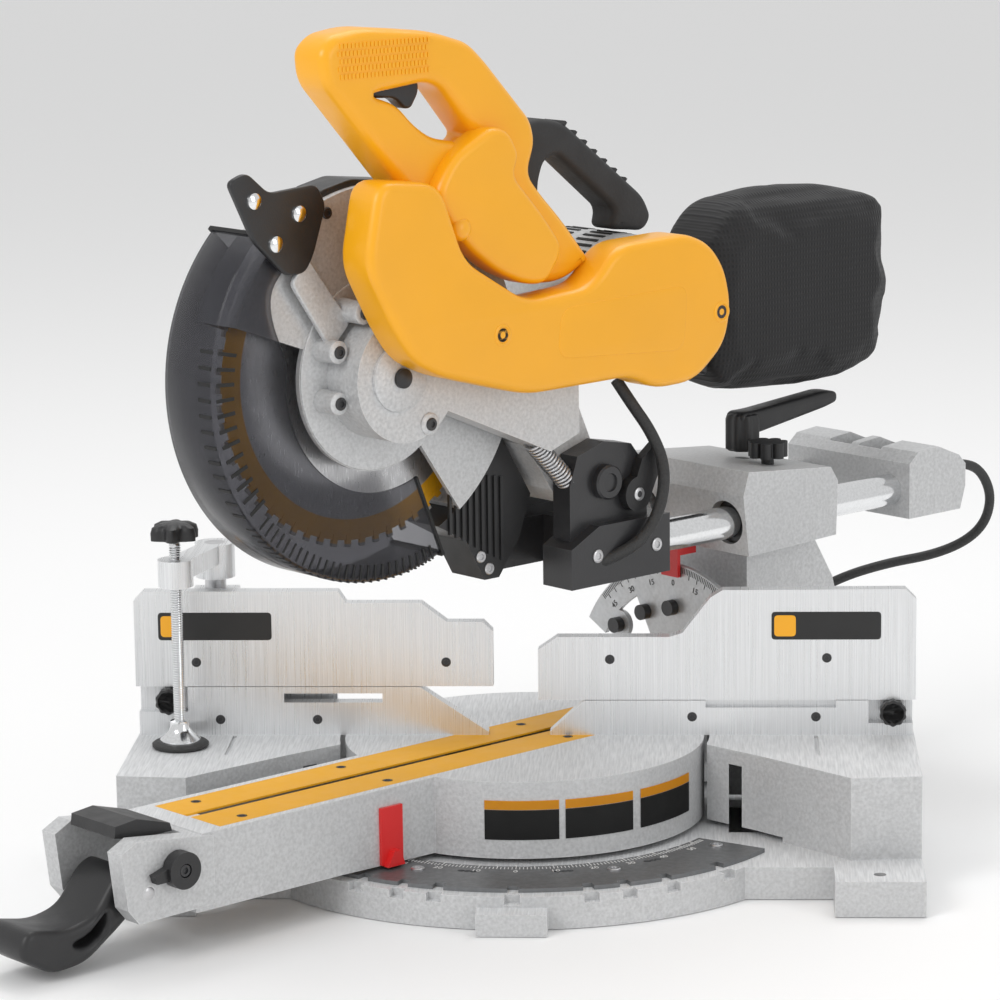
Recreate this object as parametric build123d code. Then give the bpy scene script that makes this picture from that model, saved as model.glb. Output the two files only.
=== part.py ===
from build123d import *
import math
import os

# Sliding compound mitre saw, 254 mm blade. Millimetres, +Z up. The origin is on the turntable's
# pivot axis at the underside of the feet; the fence faces lie on y = 0 and the user stands at -Y.
# Everything that turns with the table is drawn for a square cut (arm along -Y) and then turned.

# ---- driving dimensions ----
TABLE_Z = 85.0            # work surface
REST_MITRE = -45.0        # degrees about +Z: arm swung 45 degrees to the left
WING_X = 290.0            # half length of the base and fences
RING_R = 215.0            # base ring
RING_TOP_Z = 24.0
PAD_R = 231.0             # front foot pad
TABLE_R = 134.0           # turntable top
WELL_R = 138.0            # hole in the wings around the turntable
FOOT_X = 258.0            # bench bolt holes
FOOT_FRONT_Y = -165.0
FOOT_REAR_Y = 165.0
BOLT_R = 4.5

FENCE_T = 12.0            # machined fence thickness
LEFT_SPLIT_Z = 122.0      # joint between the fixed and sliding fence
RIGHT_SPLIT_Z = 111.5
FENCE_TOP_Z = 195.0

BLADE_S = 155.0           # blade centre in front of the pivot axis
BLADE_Z = 380.0
BLADE_R = 127.0
BLADE_T = 1.8
TOOTH_T = 2.6
TEETH = 60
SPINDLE_R = 8.0

PIVOT_S = -35.0           # chop pivot
PIVOT_Z = 280.0
PIVOT_R = 8.0
RAIL_X = 45.0
RAIL_Z = 229.0
RAIL_R = 12.5
RAIL_FRONT_S = -62.0
RAIL_REAR_S = -388.0

MOTOR_S = -75.0
MOTOR_Z = 405.0
IDLER_S = 107.0           # intermediate shaft, one gear pair away from the spindle
IDLER_Z = 398.0
GEAR_GAP = 0.15
PINION_R = 11.4
GEAR_R = 39.9
DRIVE_PULLEY_R = 10.0
DRIVEN_PULLEY_R = 16.0
BELT_X = 72.0             # middle plane of the belt
BELT_W = 14.0
BELT_T = 3.0

HANDLE_X = 46.0           # middle plane of the D handle
HANDLE_HALF = 18.0
UPPER_R = 133.0           # cast upper guard
GUARD_R = 150.0           # clear lower guard

DETENTS = (-45, -31.62, -22.5, -15, 0, 15, 22.5, 31.62, 45)
SCALE_SCREWS = (-56, -24, 24, 56)
PIVOT_BORE_R = 10.05
ARM_HALF = 43.0           # half width of the turntable's arm
ARM_FRONT_S = 338.0
PLATE_T = 1.5             # kerf plates
KERF_HALF = 4.0
BEVEL_SHAFT_R = 14.0
BUSH_R = 17.0
HOUSING_FRONT_S = -172.0
HOUSING_REAR_S = -262.0

CLAMP_X = -254.0
CLAMP_Y = -34.0
CLAMP_POST_X = -233.0
CLAMP_POST_Y = 33.0
CLAMP_ARM_Z = 205.0

CORD_R = 4.0
COIL_R = 44.5             # middle of the coil's turns
COIL_BAND = 26.0
COIL_H = 34.0
COIL_X = 110.0
COIL_Y = 430.0
PLUG_X = 86.0             # where the cord enters its plug
PLUG_Y = 389.0
PLUG_TURN = -70.0
RELIEF_X = 18.0           # where the cord leaves the rear bracket
RELIEF_Z = 231.0
RELIEF_REAR_S = -463.0

FIT = 0.05                # radial running clearance
GAP = 0.5                 # air between neighbouring castings

os.makedirs("parts", exist_ok=True)


# ---- helpers ----
def at(x, s, z):
    """A point given as right, forward and up on the turntable."""
    return Pos(x, -s, z)


def box(x0, x1, s0, s1, z0, z1):
    """A block between two corners in right, forward, up."""
    size = (x1 - x0, s1 - s0, z1 - z0)
    return at((x0 + x1) / 2, (s0 + s1) / 2, (z0 + z1) / 2) * Box(*size)


def block(x0, x1, y0, y1, z0, z1):
    """A block between two corners in the base's own X, Y, Z."""
    return Pos((x0 + x1) / 2, (y0 + y1) / 2, (z0 + z1) / 2) * Box(x1 - x0, y1 - y0, z1 - z0)


def rod_x(x0, x1, s, z, radius):
    """A cylinder across the saw."""
    return at((x0 + x1) / 2, s, z) * Rot(0, 90, 0) * Cylinder(radius, x1 - x0)


def rod_s(x, s0, s1, z, radius):
    """A cylinder along the arm."""
    return at(x, (s0 + s1) / 2, z) * Rot(90, 0, 0) * Cylinder(radius, s1 - s0)


def rod_z(x, s, z0, z1, radius):
    """An upright cylinder."""
    return at(x, s, (z0 + z1) / 2) * Cylinder(radius, z1 - z0)


def side_plane(x):
    """Plane whose drawing axes are forward and up, at a place across the saw."""
    return Plane(origin=(x, 0, 0), x_dir=(0, -1, 0), z_dir=(-1, 0, 0))


def slab(outline, x0, x1, radius=0.0):
    """A plate of a (forward, up) outline between two places across the saw."""
    face = Polyline(*outline, close=True)
    wire = make_face(face)
    if radius:
        wire = fillet(wire.vertices(), radius)
    sketch = side_plane(x1) * wire
    return extrude(sketch, amount=x1 - x0)


def front_plate(outline, y0, y1):
    """A plate of an (x, z) outline between two depths."""
    face = make_face(Polyline(*outline, close=True))
    plane = Plane(origin=(0, y1, 0), x_dir=(1, 0, 0), z_dir=(0, -1, 0))
    return extrude(plane * face, amount=y1 - y0)


def sector(radius, a0, a1):
    """A pie slice in the XY plane, angles in degrees."""
    a_mid = math.radians((a0 + a1) / 2)
    start = (radius * math.cos(math.radians(a0)), radius * math.sin(math.radians(a0)))
    middle = (radius * math.cos(a_mid), radius * math.sin(a_mid))
    end = (radius * math.cos(math.radians(a1)), radius * math.sin(math.radians(a1)))
    outline = Line((0, 0), start) + ThreePointArc(start, middle, end) + Line(end, (0, 0))
    return make_face(outline)


def side_sector(radius, a0, a1, x0, x1, s, z):
    """A pie slice beside the blade; angle 0 points forward and 90 up."""
    sketch = side_plane(x1) * Pos(s, z) * sector(radius, a0, a1)
    return extrude(sketch, amount=x1 - x0)


def disc_x(x0, x1, radius, hole=0.0, s=BLADE_S, z=BLADE_Z):
    """A disc across the saw with an optional bore."""
    disc = rod_x(x0, x1, s, z, radius)
    if hole:
        disc -= rod_x(x0 - 1, x1 + 1, s, z, hole)
    return disc


PARTS = {}


def keep(name, shape, turn=True):
    """Remember a piece, swung to the rest mitre when it rides on the turntable."""
    if isinstance(shape, (list, tuple)):
        solids = [s for item in shape for s in item.solids()]
        shape = Compound(children=solids)
    if turn:
        shape = shape.rotate(Axis.Z, REST_MITRE)
    PARTS[name] = shape


# ---- base ----
def base_casting():
    """Two wings on four feet joined by the ring that the turntable sits in."""
    ring = Pos(0, 0, RING_TOP_Z / 2) * Cylinder(RING_R, RING_TOP_Z)
    body = ring
    wing = [(136, 48), (136, -28), (172, -59), (239, -123), (WING_X, -118), (WING_X, 48)]
    for side in (1, -1):
        top = make_face(Polyline(*[(side * x, y) for x, y in wing], close=True))
        body += Pos(0, 0, 24) * extrude(top, amount=TABLE_Z - 24)
        body += block(*sorted((side * 150, side * WING_X)), -140, 140, 0, RING_TOP_Z)
        for y in (FOOT_FRONT_Y, FOOT_REAR_Y):
            body += block(*sorted((side * 226, side * WING_X)), *sorted((y * 0.8, y * 1.11)), 0, 26)
    pad = Pos(0, -PAD_R + 30, 8) * Box(50, 60, 16)
    body += pad
    body -= Pos(0, 0, RING_TOP_Z + 76) * Cylinder(WELL_R, 152)
    body -= Pos(0, 0, RING_TOP_Z + 2) * Cylinder(206, 4)
    body -= Pos(0, 0, 8) * (Cylinder(140, 20) - Cylinder(34, 20))
    body -= Pos(0, 0, 8) * (Cylinder(205, 20) - Cylinder(150, 20) - Pos(0, -190, 0) * Box(60, 90, 20))
    body -= Pos(0, 0, 12) * Cylinder(PIVOT_BORE_R, 40)
    for side in (1, -1):
        pocket = block(*sorted((side * 152, side * 282)), -50, 40, -1, 74)
        body -= pocket
        body -= Pos(side * 217, -30, TABLE_Z) * Box(3, 56, 3)
        for y in (FOOT_FRONT_Y, FOOT_REAR_Y):
            body -= Pos(side * FOOT_X, y, 13) * Cylinder(BOLT_R, 40)
    for angle in SCALE_SCREWS:
        turn = math.radians(angle)
        body -= Pos(172 * math.sin(turn), -172 * math.cos(turn), 20) * Cylinder(3, 16)
    for angle in DETENTS:
        turn = math.radians(angle)
        notch = Pos(RING_R * math.sin(turn), -RING_R * math.cos(turn), RING_TOP_Z - 2) * Rot(0, 0, angle)
        body -= notch * Box(11, 12, 8)
    return body


def scale_plate():
    """Detent plate: a steel arc on the base ring with a notch at each common angle."""
    outer = sector(205, -90 - 60, -90 + 60)
    plate = Pos(0, 0, RING_TOP_Z) * extrude(outer, amount=3)
    plate -= Pos(0, 0, RING_TOP_Z) * Cylinder(150, 10)
    for angle in (-36, -12, 12, 36):
        for place in (angle - 1.6, angle, angle + 1.6):
            turn = math.radians(place)
            plate -= Pos(165 * math.sin(turn), -165 * math.cos(turn), RING_TOP_Z) * Cylinder(2.6, 10)
    for angle in DETENTS:
        turn = math.radians(angle)
        plate -= Pos(203 * math.sin(turn), -203 * math.cos(turn), RING_TOP_Z) * Rot(0, 0, angle) * Box(8, 10, 10)
    for angle in SCALE_SCREWS:
        turn = math.radians(angle)
        plate -= Pos(172 * math.sin(turn), -172 * math.cos(turn), RING_TOP_Z) * Cylinder(3.1, 10)
    return plate


def left_fixed_fence():
    """Lower left fence on its rear foot, tapered for the tilted blade."""
    outline = [(-289, TABLE_Z), (-27, TABLE_Z), (-27, 87.5), (-78, LEFT_SPLIT_Z), (-289, LEFT_SPLIT_Z)]
    fence = front_plate(outline, 0, FENCE_T)
    fence += block(-289, -142, FENCE_T, 46, TABLE_Z, 99)
    fence += block(-289, -142, 22, 30, 99, LEFT_SPLIT_Z)
    fence -= block(-180, -106, -1, 16, 110, 117)
    fence -= block(-289.5, -252, -1, 10, 103, LEFT_SPLIT_Z + 1)
    return fence


def right_fixed_fence():
    """Lower right fence on its rear foot."""
    outline = [(289, TABLE_Z), (19, TABLE_Z), (19, 87.5), (45, RIGHT_SPLIT_Z), (289, RIGHT_SPLIT_Z)]
    fence = front_plate(outline, 0, FENCE_T)
    fence += block(142, 289, FENCE_T, 46, TABLE_Z, 99)
    fence += block(142, 289, 22, 30, 99, RIGHT_SPLIT_Z)
    fence -= block(135, 232, -1, 6, 106, RIGHT_SPLIT_Z + 1)
    fence -= block(256, 289.5, -1, 10, 94, RIGHT_SPLIT_Z + 1)
    return fence


def sliding_fence(side, outline, split):
    """Upper fence, stepped for the head, with a rear rib that slides on the fixed fence."""
    fence = front_plate(outline, 0, FENCE_T)
    fence += block(*((-284, -110) if side < 0 else (115, 284)), FENCE_T, 22, split + GAP, split + 16)
    if side < 0:
        fence += block(-250, -216, FENCE_T, 47, 150, 190)
        fence -= Pos(CLAMP_POST_X, CLAMP_POST_Y, 170) * Cylinder(8, 60)
    return fence


LEFT_OUTLINE = [(-291, 122.5), (-291, 188), (-284, FENCE_TOP_Z), (-138, FENCE_TOP_Z), (-132, 186), (-76, 186),
                (-57, 171.5), (-30, 171.5), (-23, 164.5), (-23, 122.5)]
RIGHT_OUTLINE = [(10.5, 112), (10.5, 150), (25, 160), (108, 160), (118, 163), (139, 190), (148, 195.5),
                 (283, 196), (291, 188), (291, 112)]


def fence_knob(x, z, y0):
    """Lock knob of a sliding fence."""
    knob = Pos(x, y0 + 8, z) * Rot(90, 0, 0) * Cylinder(8, 16)
    return knob


# ---- clamp, carried on the back of the left sliding fence ----
def clamp_post():
    """Post with a foot in the socket."""
    return Pos(CLAMP_POST_X, CLAMP_POST_Y, 189) * Cylinder(8, 74)


def clamp_arm():
    """Cast arm from the post to the threaded eye in front of the fence."""
    direction = math.degrees(math.atan2(CLAMP_POST_Y - CLAMP_Y, CLAMP_POST_X - CLAMP_X))
    length = math.hypot(CLAMP_POST_Y - CLAMP_Y, CLAMP_POST_X - CLAMP_X)
    arm = Pos((CLAMP_POST_X + CLAMP_X) / 2, (CLAMP_POST_Y + CLAMP_Y) / 2, CLAMP_ARM_Z + 14) * Rot(0, 0, direction)
    arm = arm * Box(length, 18, 14)
    arm += Pos(CLAMP_POST_X, CLAMP_POST_Y, CLAMP_ARM_Z + 8) * Cylinder(15, 26)
    arm += Pos(CLAMP_X, CLAMP_Y, CLAMP_ARM_Z + 12) * Cylinder(13, 20)
    arm -= Pos(CLAMP_POST_X, CLAMP_POST_Y, CLAMP_ARM_Z) * Cylinder(8, 70)
    arm -= Pos(CLAMP_X, CLAMP_Y, CLAMP_ARM_Z) * Cylinder(4.55, 70)
    return arm


def clamp_screw():
    """Threaded rod with its star knob."""
    star = Circle(11)
    for i in range(6):
        turn = math.radians(60 * i + 15)
        star += Pos(13 * math.cos(turn), 13 * math.sin(turn)) * Circle(5.8)
    knob = Pos(CLAMP_X, CLAMP_Y, 241) * extrude(star, amount=14)
    return Pos(CLAMP_X, CLAMP_Y, 166.5) * Cylinder(4.5, 149) + knob


def clamp_foot():
    """Swivelling cone under the rod, and the rubber pad on its underside."""
    cone = Pos(CLAMP_X, CLAMP_Y, 95) * Cone(15, 6, 12) - Pos(CLAMP_X, CLAMP_Y, 102) * Cylinder(4.5, 20)
    return [cone, Pos(CLAMP_X, CLAMP_Y, 87.15) * Cylinder(21, 3.7)]


# ---- turntable ----
def turntable():
    """Round table, hollow arm with its front fork, and the rear bevel support, cast in one."""
    disc = Pos(0, 0, 56.5) * Cylinder(TABLE_R, 57)
    disc -= Pos(0, 0, 50) * Cylinder(TABLE_R - 8, 54)
    hub = Pos(0, 0, 54) * Cylinder(26, 52)
    side = [(60, 27.5), (60, TABLE_Z), (ARM_FRONT_S, TABLE_Z), (345, 80), (345, 30), (225, 30), (215, 30)]
    arm = slab(side, -ARM_HALF, ARM_HALF)
    fork = slab([(330, 34), (330, 83), (395, 91), (409, 84), (404, 44), (395, 33)], -45, 45)
    fork -= box(-30, 30, 346, 420, 20, 100)
    body = disc + hub + arm + fork
    body -= box(-ARM_HALF + 6, ARM_HALF - 6, 140, 337, 20, 77)
    body -= box(-37.2, 37.2, -130.2, 318.2, TABLE_Z - PLATE_T, TABLE_Z + 1)
    body -= box(-22, 22, -110, 306, 52, TABLE_Z)
    body += slab([(-90, 45), (-90, 80), (-128, 80), (-138, 40), (-186, 40), (-186, 28), (-90, 28)], -40, 40)
    body += slab([(-160, 30), (-160, 112), (-186, 112), (-186, 30)], -38, 38)
    body += rod_s(0, -186, -160, TABLE_Z, 42)
    body -= rod_s(0, -200, -140, TABLE_Z, BEVEL_SHAFT_R)
    body -= Pos(0, 0, 12) * Cylinder(PIVOT_BORE_R, 200)
    body -= rod_x(-60, 60, 386, 53, 5)
    return body


def kerf_plates():
    """Two plates with the saw slot between them, rounded at the front end."""
    out = []
    for side in (1, -1):
        plate = box(*sorted((side * KERF_HALF, side * 37)), -130, 318, TABLE_Z - PLATE_T + FIT, TABLE_Z)
        for s in (-20, 157, 290):
            plate -= rod_z(side * 26, s, TABLE_Z - 10, TABLE_Z + 5, 3)
        out.append(plate)
    return out


def mitre_pointer():
    """Red pointer bent over the arm's right wall to the scale."""
    body = box(43, 45.5, 160, 180, 30, 72)
    body += slab([(162, 29), (178, 29), (172, 40), (166, 40)], 43, 50)
    return body


def lock_lever():
    """Cam lever of the mitre lock with its broad paddle."""
    cam = rod_x(-27, 27, 386, 53, 16)
    paddle = [(376, 50), (398, 60), (414, 34), (440, 30), (474, 38), (478, 22), (452, 4), (424, 6), (392, 26)]
    body = cam + slab(paddle, -22, 22)
    body -= rod_x(-30, 30, 386, 53, 5 + FIT)
    return body


def lever_pin():
    """Cross pin of the lock lever."""
    return rod_x(-45, 45, 386, 53, 5)


def detent_button():
    """Thumb button that lifts the detent."""
    return slab([(350, 86), (352, 92), (380, 100), (398, 98), (399, 90), (380, 86)], -25, 25)


def override_dial():
    """Detent override dial with its pointer tab, on the right fork cheek."""
    dial = rod_x(45.5, 55, 362, 66, 13)
    tab = slab([(360, 60), (366, 72), (386, 66), (384, 60)], 45.5, 52)
    dial += tab
    dial -= rod_x(52, 56, 362, 66, 5)
    return dial


# ---- bevel group ----
def bevel_housing():
    """Casting that tilts on the trunnion and carries the rails' bearings."""
    upper = [(HOUSING_FRONT_S, 205), (-166, 252), (-172, 270), (HOUSING_REAR_S, 262), (-270, 250), (-268, 208)]
    body = slab(upper, -66, 66)
    neck = [(-190, 62), (-190, 207), (-262, 207), (-285, 170), (-300, 120), (-300, 85), (-276, 62)]
    body += slab(neck, -46, 46)
    body += rod_s(0, -266, -190, TABLE_Z, 44)
    for side in (1, -1):
        body -= rod_s(side * RAIL_X, -300, -150, RAIL_Z, BUSH_R)
    body -= rod_s(0, -320, -180, TABLE_Z, BEVEL_SHAFT_R + FIT)
    body -= rod_z(0, -232, 240, 280, 6)
    body -= rod_z(34, -225, 240, 280, 5)
    return body


def rail_bushes():
    """Linear bearing sleeves, two to a rail."""
    out = []
    for side in (1, -1):
        for s0, s1 in ((-205, -176), (-258, -229)):
            sleeve = rod_s(side * RAIL_X, s0, s1, RAIL_Z, BUSH_R)
            out.append(sleeve - rod_s(side * RAIL_X, s0 - 1, s1 + 1, RAIL_Z, RAIL_R + FIT))
    return out


def bevel_shaft():
    """Hollow shaft fixed in the turntable's trunnion, on which the housing tilts, and its nut."""
    shaft = rod_s(0, -305, -160, TABLE_Z, BEVEL_SHAFT_R) - rod_s(0, -310, -150, TABLE_Z, 6)
    nut = rod_s(0, -314, -300.5, TABLE_Z, 22) - rod_s(0, -320, -290, TABLE_Z, BEVEL_SHAFT_R)
    return [shaft, nut]


def bevel_scale():
    """Arc plate with the tilt scale, centred on the bevel axis."""
    arc = side_arc(107, 86, 28, 152, -160, -156)
    arc += side_arc(90, 30, 62, 118, -160, -156)
    for angle in (40, 140):
        turn = math.radians(angle)
        arc += rod_s(78 * math.cos(turn), -160, -156, TABLE_Z + 78 * math.sin(turn), 11)
    return arc


def side_arc(outer, inner, a0, a1, s0, s1):
    """An arc plate across the saw about the bevel axis; angle 0 points right."""
    plane = Plane(origin=(0, -s1, TABLE_Z), x_dir=(1, 0, 0), z_dir=(0, -1, 0))
    arc = extrude(plane * sector(outer, a0, a1), amount=-(s1 - s0))
    return arc - rod_s(0, s0 - 5, s1 + 5, TABLE_Z, inner)


def bevel_pointer():
    """Red pointer of the tilt scale on the housing."""
    body = box(-9, 9, -172, -152, 200, 205)
    return body + box(-9, 9, -155, -152, 183, 204)


def bevel_stops():
    """Stop screws of the tilt on the trunnion's front."""
    return [rod_s(x, -156, -149, z, 6) for x, z in ((-60, 135), (-30, 150), (0, 158))]


def bevel_lever():
    """Bevel lock lever on its upright stem."""
    body = rod_z(0, -232, 272, 300, 13)
    arm = slab([(-224, 300), (-240, 300), (-318, 308), (-330, 306), (-330, 298), (-318, 296), (-240, 284),
                (-224, 284)], -9, 9)
    body += arm
    body += rod_z(0, -232, 242, 272, 5.9)
    return body


def slide_knob():
    """Lobed knob that locks the rails."""
    knob = rod_z(34, -225, 271, 283, 11)
    for i in range(7):
        turn = 2 * math.pi * i / 7
        knob += rod_z(34 + 11 * math.cos(turn), -225 + 11 * math.sin(turn), 271, 283, 4.5)
    knob += rod_z(34, -225, 246.5, 271, 4.9)
    return knob


# ---- rails and carriage ----
def rail(side):
    """Chromed guide tube."""
    return rod_s(side * RAIL_X, RAIL_REAR_S, RAIL_FRONT_S, RAIL_Z, RAIL_R) - rod_s(
        side * RAIL_X, RAIL_REAR_S - 5, RAIL_FRONT_S + 5, RAIL_Z, RAIL_R - 2.5)


def carriage():
    """Front casting open in the middle: two beams on the rails, joined behind, with pivot cheeks."""
    side = [(-92, 206), (-92, 250), (-20, 250), (8, 236), (8, 206)]
    cheek = [(-78, 240), (-78, 285), (-62, 305), (-35, 310), (-8, 302), (0, 280), (0, 240)]
    body = slab(side, -62, 62) - box(-31, 31, -50, 20, 200, 260)
    body += slab(cheek, 34, 52)
    body += slab(cheek, -52, -34)
    for turn_side in (1, -1):
        body -= rod_s(turn_side * RAIL_X, RAIL_FRONT_S - 40, RAIL_FRONT_S, RAIL_Z, RAIL_R + FIT)
    body -= rod_x(-70, 70, PIVOT_S, PIVOT_Z, PIVOT_R)
    body -= box(-33, 33, -120, 30, 242, 320)
    return body + rod_x(51, 61, -62, 268, 4)


def rear_bracket():
    """Ribbed casting that ties the rails' rear ends and holds the cord's exit."""
    body = slab([(-352, 208), (-352, 252), (-362, 260), (-385, 262), (-410, 252), (-418, 244), (-418, 226),
                 (-412, 208)], -66, 66)
    for side in (1, -1):
        body -= rod_s(side * RAIL_X, RAIL_REAR_S, -340, RAIL_Z, RAIL_R + FIT)
        body -= box(*sorted((side * 4, side * 28)), -402, -360, 240, 270)
    body -= box(-26, 26, -400, -366, 200, 236)
    return body


def pivot_shaft():
    """Chop pivot shaft, fixed in the carriage cheeks."""
    return rod_x(-56, 56, PIVOT_S, PIVOT_Z, PIVOT_R)


def return_spring():
    """Torsion spring that lifts the head, beside the swing arm's hub."""
    rings = rod_x(-31.5, -20, PIVOT_S, PIVOT_Z, 17)
    return rings - rod_x(-40, -10, PIVOT_S, PIVOT_Z, 12)


def depth_stop():
    """Grooving stop lever on the right cheek."""
    body = rod_x(52.5, 60, -62, 268, 13)
    body += slab([(-55, 268), (-66, 294), (-80, 304), (-90, 296), (-74, 264)], 52.5, 60)
    body -= rod_x(50, 62, -62, 268, 4 + FIT)
    return body


# ---- head: chop group ----
def upper_guard():
    """Cast upper guard around the blade's top and rear, open below and in front."""
    shell = side_sector(UPPER_R, 20, 235, -24, 20, BLADE_S, BLADE_Z)
    hollow = side_sector(UPPER_R - 4, 0, 260, -20, 16, BLADE_S, BLADE_Z)
    core = disc_x(16, 20, 70)
    return shell - hollow + core - disc_x(-30, 30, 20)


def gear_case():
    """Gear case on the right of the upper guard, with the swing arm to the chop pivot."""
    body = disc_x(20, 54, 46)
    body += rod_x(26, 54, IDLER_S, IDLER_Z, 30)
    body += slab([(118, 352), (128, 416), (20, 424), (-8, 378), (-8, 320), (20, 310)], 27, 54)
    body += slab([(18, 372), (-40, 306), (-52, 290), (-20, 262), (0, 276), (24, 312)], -18, 32)
    body += rod_x(-19, 32, PIVOT_S, PIVOT_Z, 20)
    body += slab([(24, 312), (18, 372), (-8, 378), (-40, 306), (-20, 290)], 18, 33)
    body = body - disc_x(24, 50, 42) - rod_x(28, 50, IDLER_S, IDLER_Z, 22)
    body -= rod_x(-80, 80, PIVOT_S, PIVOT_Z, PIVOT_R + FIT)
    body -= disc_x(0, 60, 12)
    return body - rod_x(0, 80, IDLER_S, IDLER_Z, 9)


def blade():
    """Saw blade with carbide teeth."""
    body = disc_x(-BLADE_T / 2, BLADE_T / 2, BLADE_R - 5, SPINDLE_R)
    for i in range(TEETH):
        turn = 2 * math.pi * i / TEETH
        tooth = at(0, BLADE_S + (BLADE_R - 4.5) * math.cos(turn), BLADE_Z + (BLADE_R - 4.5) * math.sin(turn))
        body += tooth * Rot(math.degrees(-turn), 0, 0) * Box(TOOTH_T, 9, 4.5)
    return body


def spindle():
    """Blade spindle with its big gear."""
    body = rod_x(-14, 50, BLADE_S, BLADE_Z, SPINDLE_R)
    return body + rod_x(29, 41, BLADE_S, BLADE_Z, GEAR_R - GEAR_GAP)


def blade_clamp():
    """Clamp washers on both sides of the blade and the bolt that holds them."""
    inner = disc_x(BLADE_T / 2, 5, 22, SPINDLE_R)
    outer = disc_x(-5, -BLADE_T / 2, 22, SPINDLE_R)
    bolt = rod_x(-19, -14, BLADE_S, BLADE_Z, 11)
    return [inner, outer, bolt]


def idler():
    """Intermediate shaft with its pinion and the driven belt pulley."""
    body = rod_x(25, BELT_X + 9, IDLER_S, IDLER_Z, 6)
    body += rod_x(29, 41, IDLER_S, IDLER_Z, PINION_R - GEAR_GAP)
    pulley = rod_x(BELT_X - 8, BELT_X + 8, IDLER_S, IDLER_Z, DRIVEN_PULLEY_R)
    return body + pulley


def armature():
    """Motor armature with its shaft, fan and drive pulley."""
    body = rod_x(-88, BELT_X + 9, MOTOR_S, MOTOR_Z, 5)
    body += rod_x(-60, 0, MOTOR_S, MOTOR_Z, 21)
    body += rod_x(18, 28, MOTOR_S, MOTOR_Z, 32)
    body += rod_x(-82, -68, MOTOR_S, MOTOR_Z, 13)
    return body + rod_x(BELT_X - 8, BELT_X + 8, MOTOR_S, MOTOR_Z, DRIVE_PULLEY_R)


def belt():
    """Ribbed belt round both pulleys."""
    def loop(extra, half):
        run = math.hypot(IDLER_S - MOTOR_S, IDLER_Z - MOTOR_Z)
        lean = math.asin((DRIVEN_PULLEY_R - DRIVE_PULLEY_R) / run)
        tilt = math.atan2(IDLER_Z - MOTOR_Z, IDLER_S - MOTOR_S)
        points = []
        for s, z, r in ((MOTOR_S, MOTOR_Z, DRIVE_PULLEY_R), (IDLER_S, IDLER_Z, DRIVEN_PULLEY_R)):
            for turn in (tilt + math.pi / 2 + lean, tilt - math.pi / 2 - lean):
                points.append((s + (r + extra) * math.cos(turn), z + (r + extra) * math.sin(turn)))
        band = slab([points[0], points[1], points[3], points[2]], BELT_X - half, BELT_X + half)
        band += rod_x(BELT_X - half, BELT_X + half, MOTOR_S, MOTOR_Z, DRIVE_PULLEY_R + extra)
        return band + rod_x(BELT_X - half, BELT_X + half, IDLER_S, IDLER_Z, DRIVEN_PULLEY_R + extra)
    return loop(BELT_T, BELT_W / 2) - loop(0.3, BELT_W)


def motor_housing():
    """Cast motor body across the saw behind the blade."""
    body = rod_x(-62, 54, MOTOR_S, MOTOR_Z, 52)
    body += slab([(-10, 384), (16, 424), (-60, 450), (-60, 360)], 31, 53.5)
    body -= rod_x(-70, 50, MOTOR_S, MOTOR_Z, 47)
    body -= rod_x(30, 60, MOTOR_S, MOTOR_Z, 12)
    return body - gear_case_space()


def gear_case_space():
    """Room that the motor housing leaves for the gear case and swing arm."""
    arm = [(140, 300), (140, 424.2), (20, 424.5), (-9, 379), (-41, 307), (-60, 250), (20, 240)]
    return slab(arm, -34, 56)


def motor_cap():
    """Yellow end cap over the commutator."""
    body = rod_x(-96, -62, MOTOR_S, MOTOR_Z, 50)
    return body - rod_x(-90, -50, MOTOR_S, MOTOR_Z, 45)


COVER = [(192, 418), (176, 396), (150, 383), (70, 361), (-30, 362), (-56, 350), (-96, 351), (-127, 375), (-134, 404),
         (-127, 432), (-112, 451), (-88, 461), (-18, 459), (8, 432), (70, 428), (128, 462), (150, 518), (206, 524),
         (218, 466)]


def belt_cover():
    """Yellow belt cover, a deep shell on the right side."""
    outer = slab(COVER, 54.5, 88)
    inner = [(160, 420), (140, 385), (68, 364.5), (-30, 366), (-56, 356), (-94, 357), (-121, 378), (-128, 404),
             (-107, 446), (-88, 455), (-20, 453), (4, 427), (72, 423)]
    outer -= slab(inner, 50, 84)
    return outer


def handle_outline():
    """Outline of the D handle from the grip down to its root on the belt cover."""
    return [(150, 500), (232, 590), (234, 612), (222, 622), (196, 626), (134, 620), (100, 610), (86, 598), (42, 552),
            (38, 536), (46, 514), (34, 500), (12, 478), (-10, 452), (-12, 446), (12, 434), (40, 434), (66, 446),
            (100, 470)]


HAND_HOLE = [(192, 580), (140, 585), (126, 580), (96, 545), (102, 540), (134, 546), (150, 556), (166, 572)]


TRIGGER_SLOT = [(193, 573), (193, 598), (136, 600), (134, 573)]


def handle_half(side):
    """One moulded half of the D handle."""
    x0, x1 = (HANDLE_X, HANDLE_X + HANDLE_HALF) if side > 0 else (HANDLE_X - HANDLE_HALF, HANDLE_X)
    body = slab(handle_outline(), x0, x1) - slab(HAND_HOLE, x0 - 1, x1 + 1)
    body -= slab([(196, 588), (196, 606), (150, 608), (146, 592)], HANDLE_X - 9, HANDLE_X + 9)
    body -= slab(TRIGGER_SLOT, HANDLE_X - 7.5, HANDLE_X + 7.5)
    keep_out = slab(COVER, 54, 90)
    return body - keep_out


def trigger():
    """Switch trigger inside the hand hole."""
    outline = [(190, 578), (190, 590), (142, 592), (138, 579), (146, 568), (152, 568), (160, 575)]
    return slab(outline, HANDLE_X - 7, HANDLE_X + 7)


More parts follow.
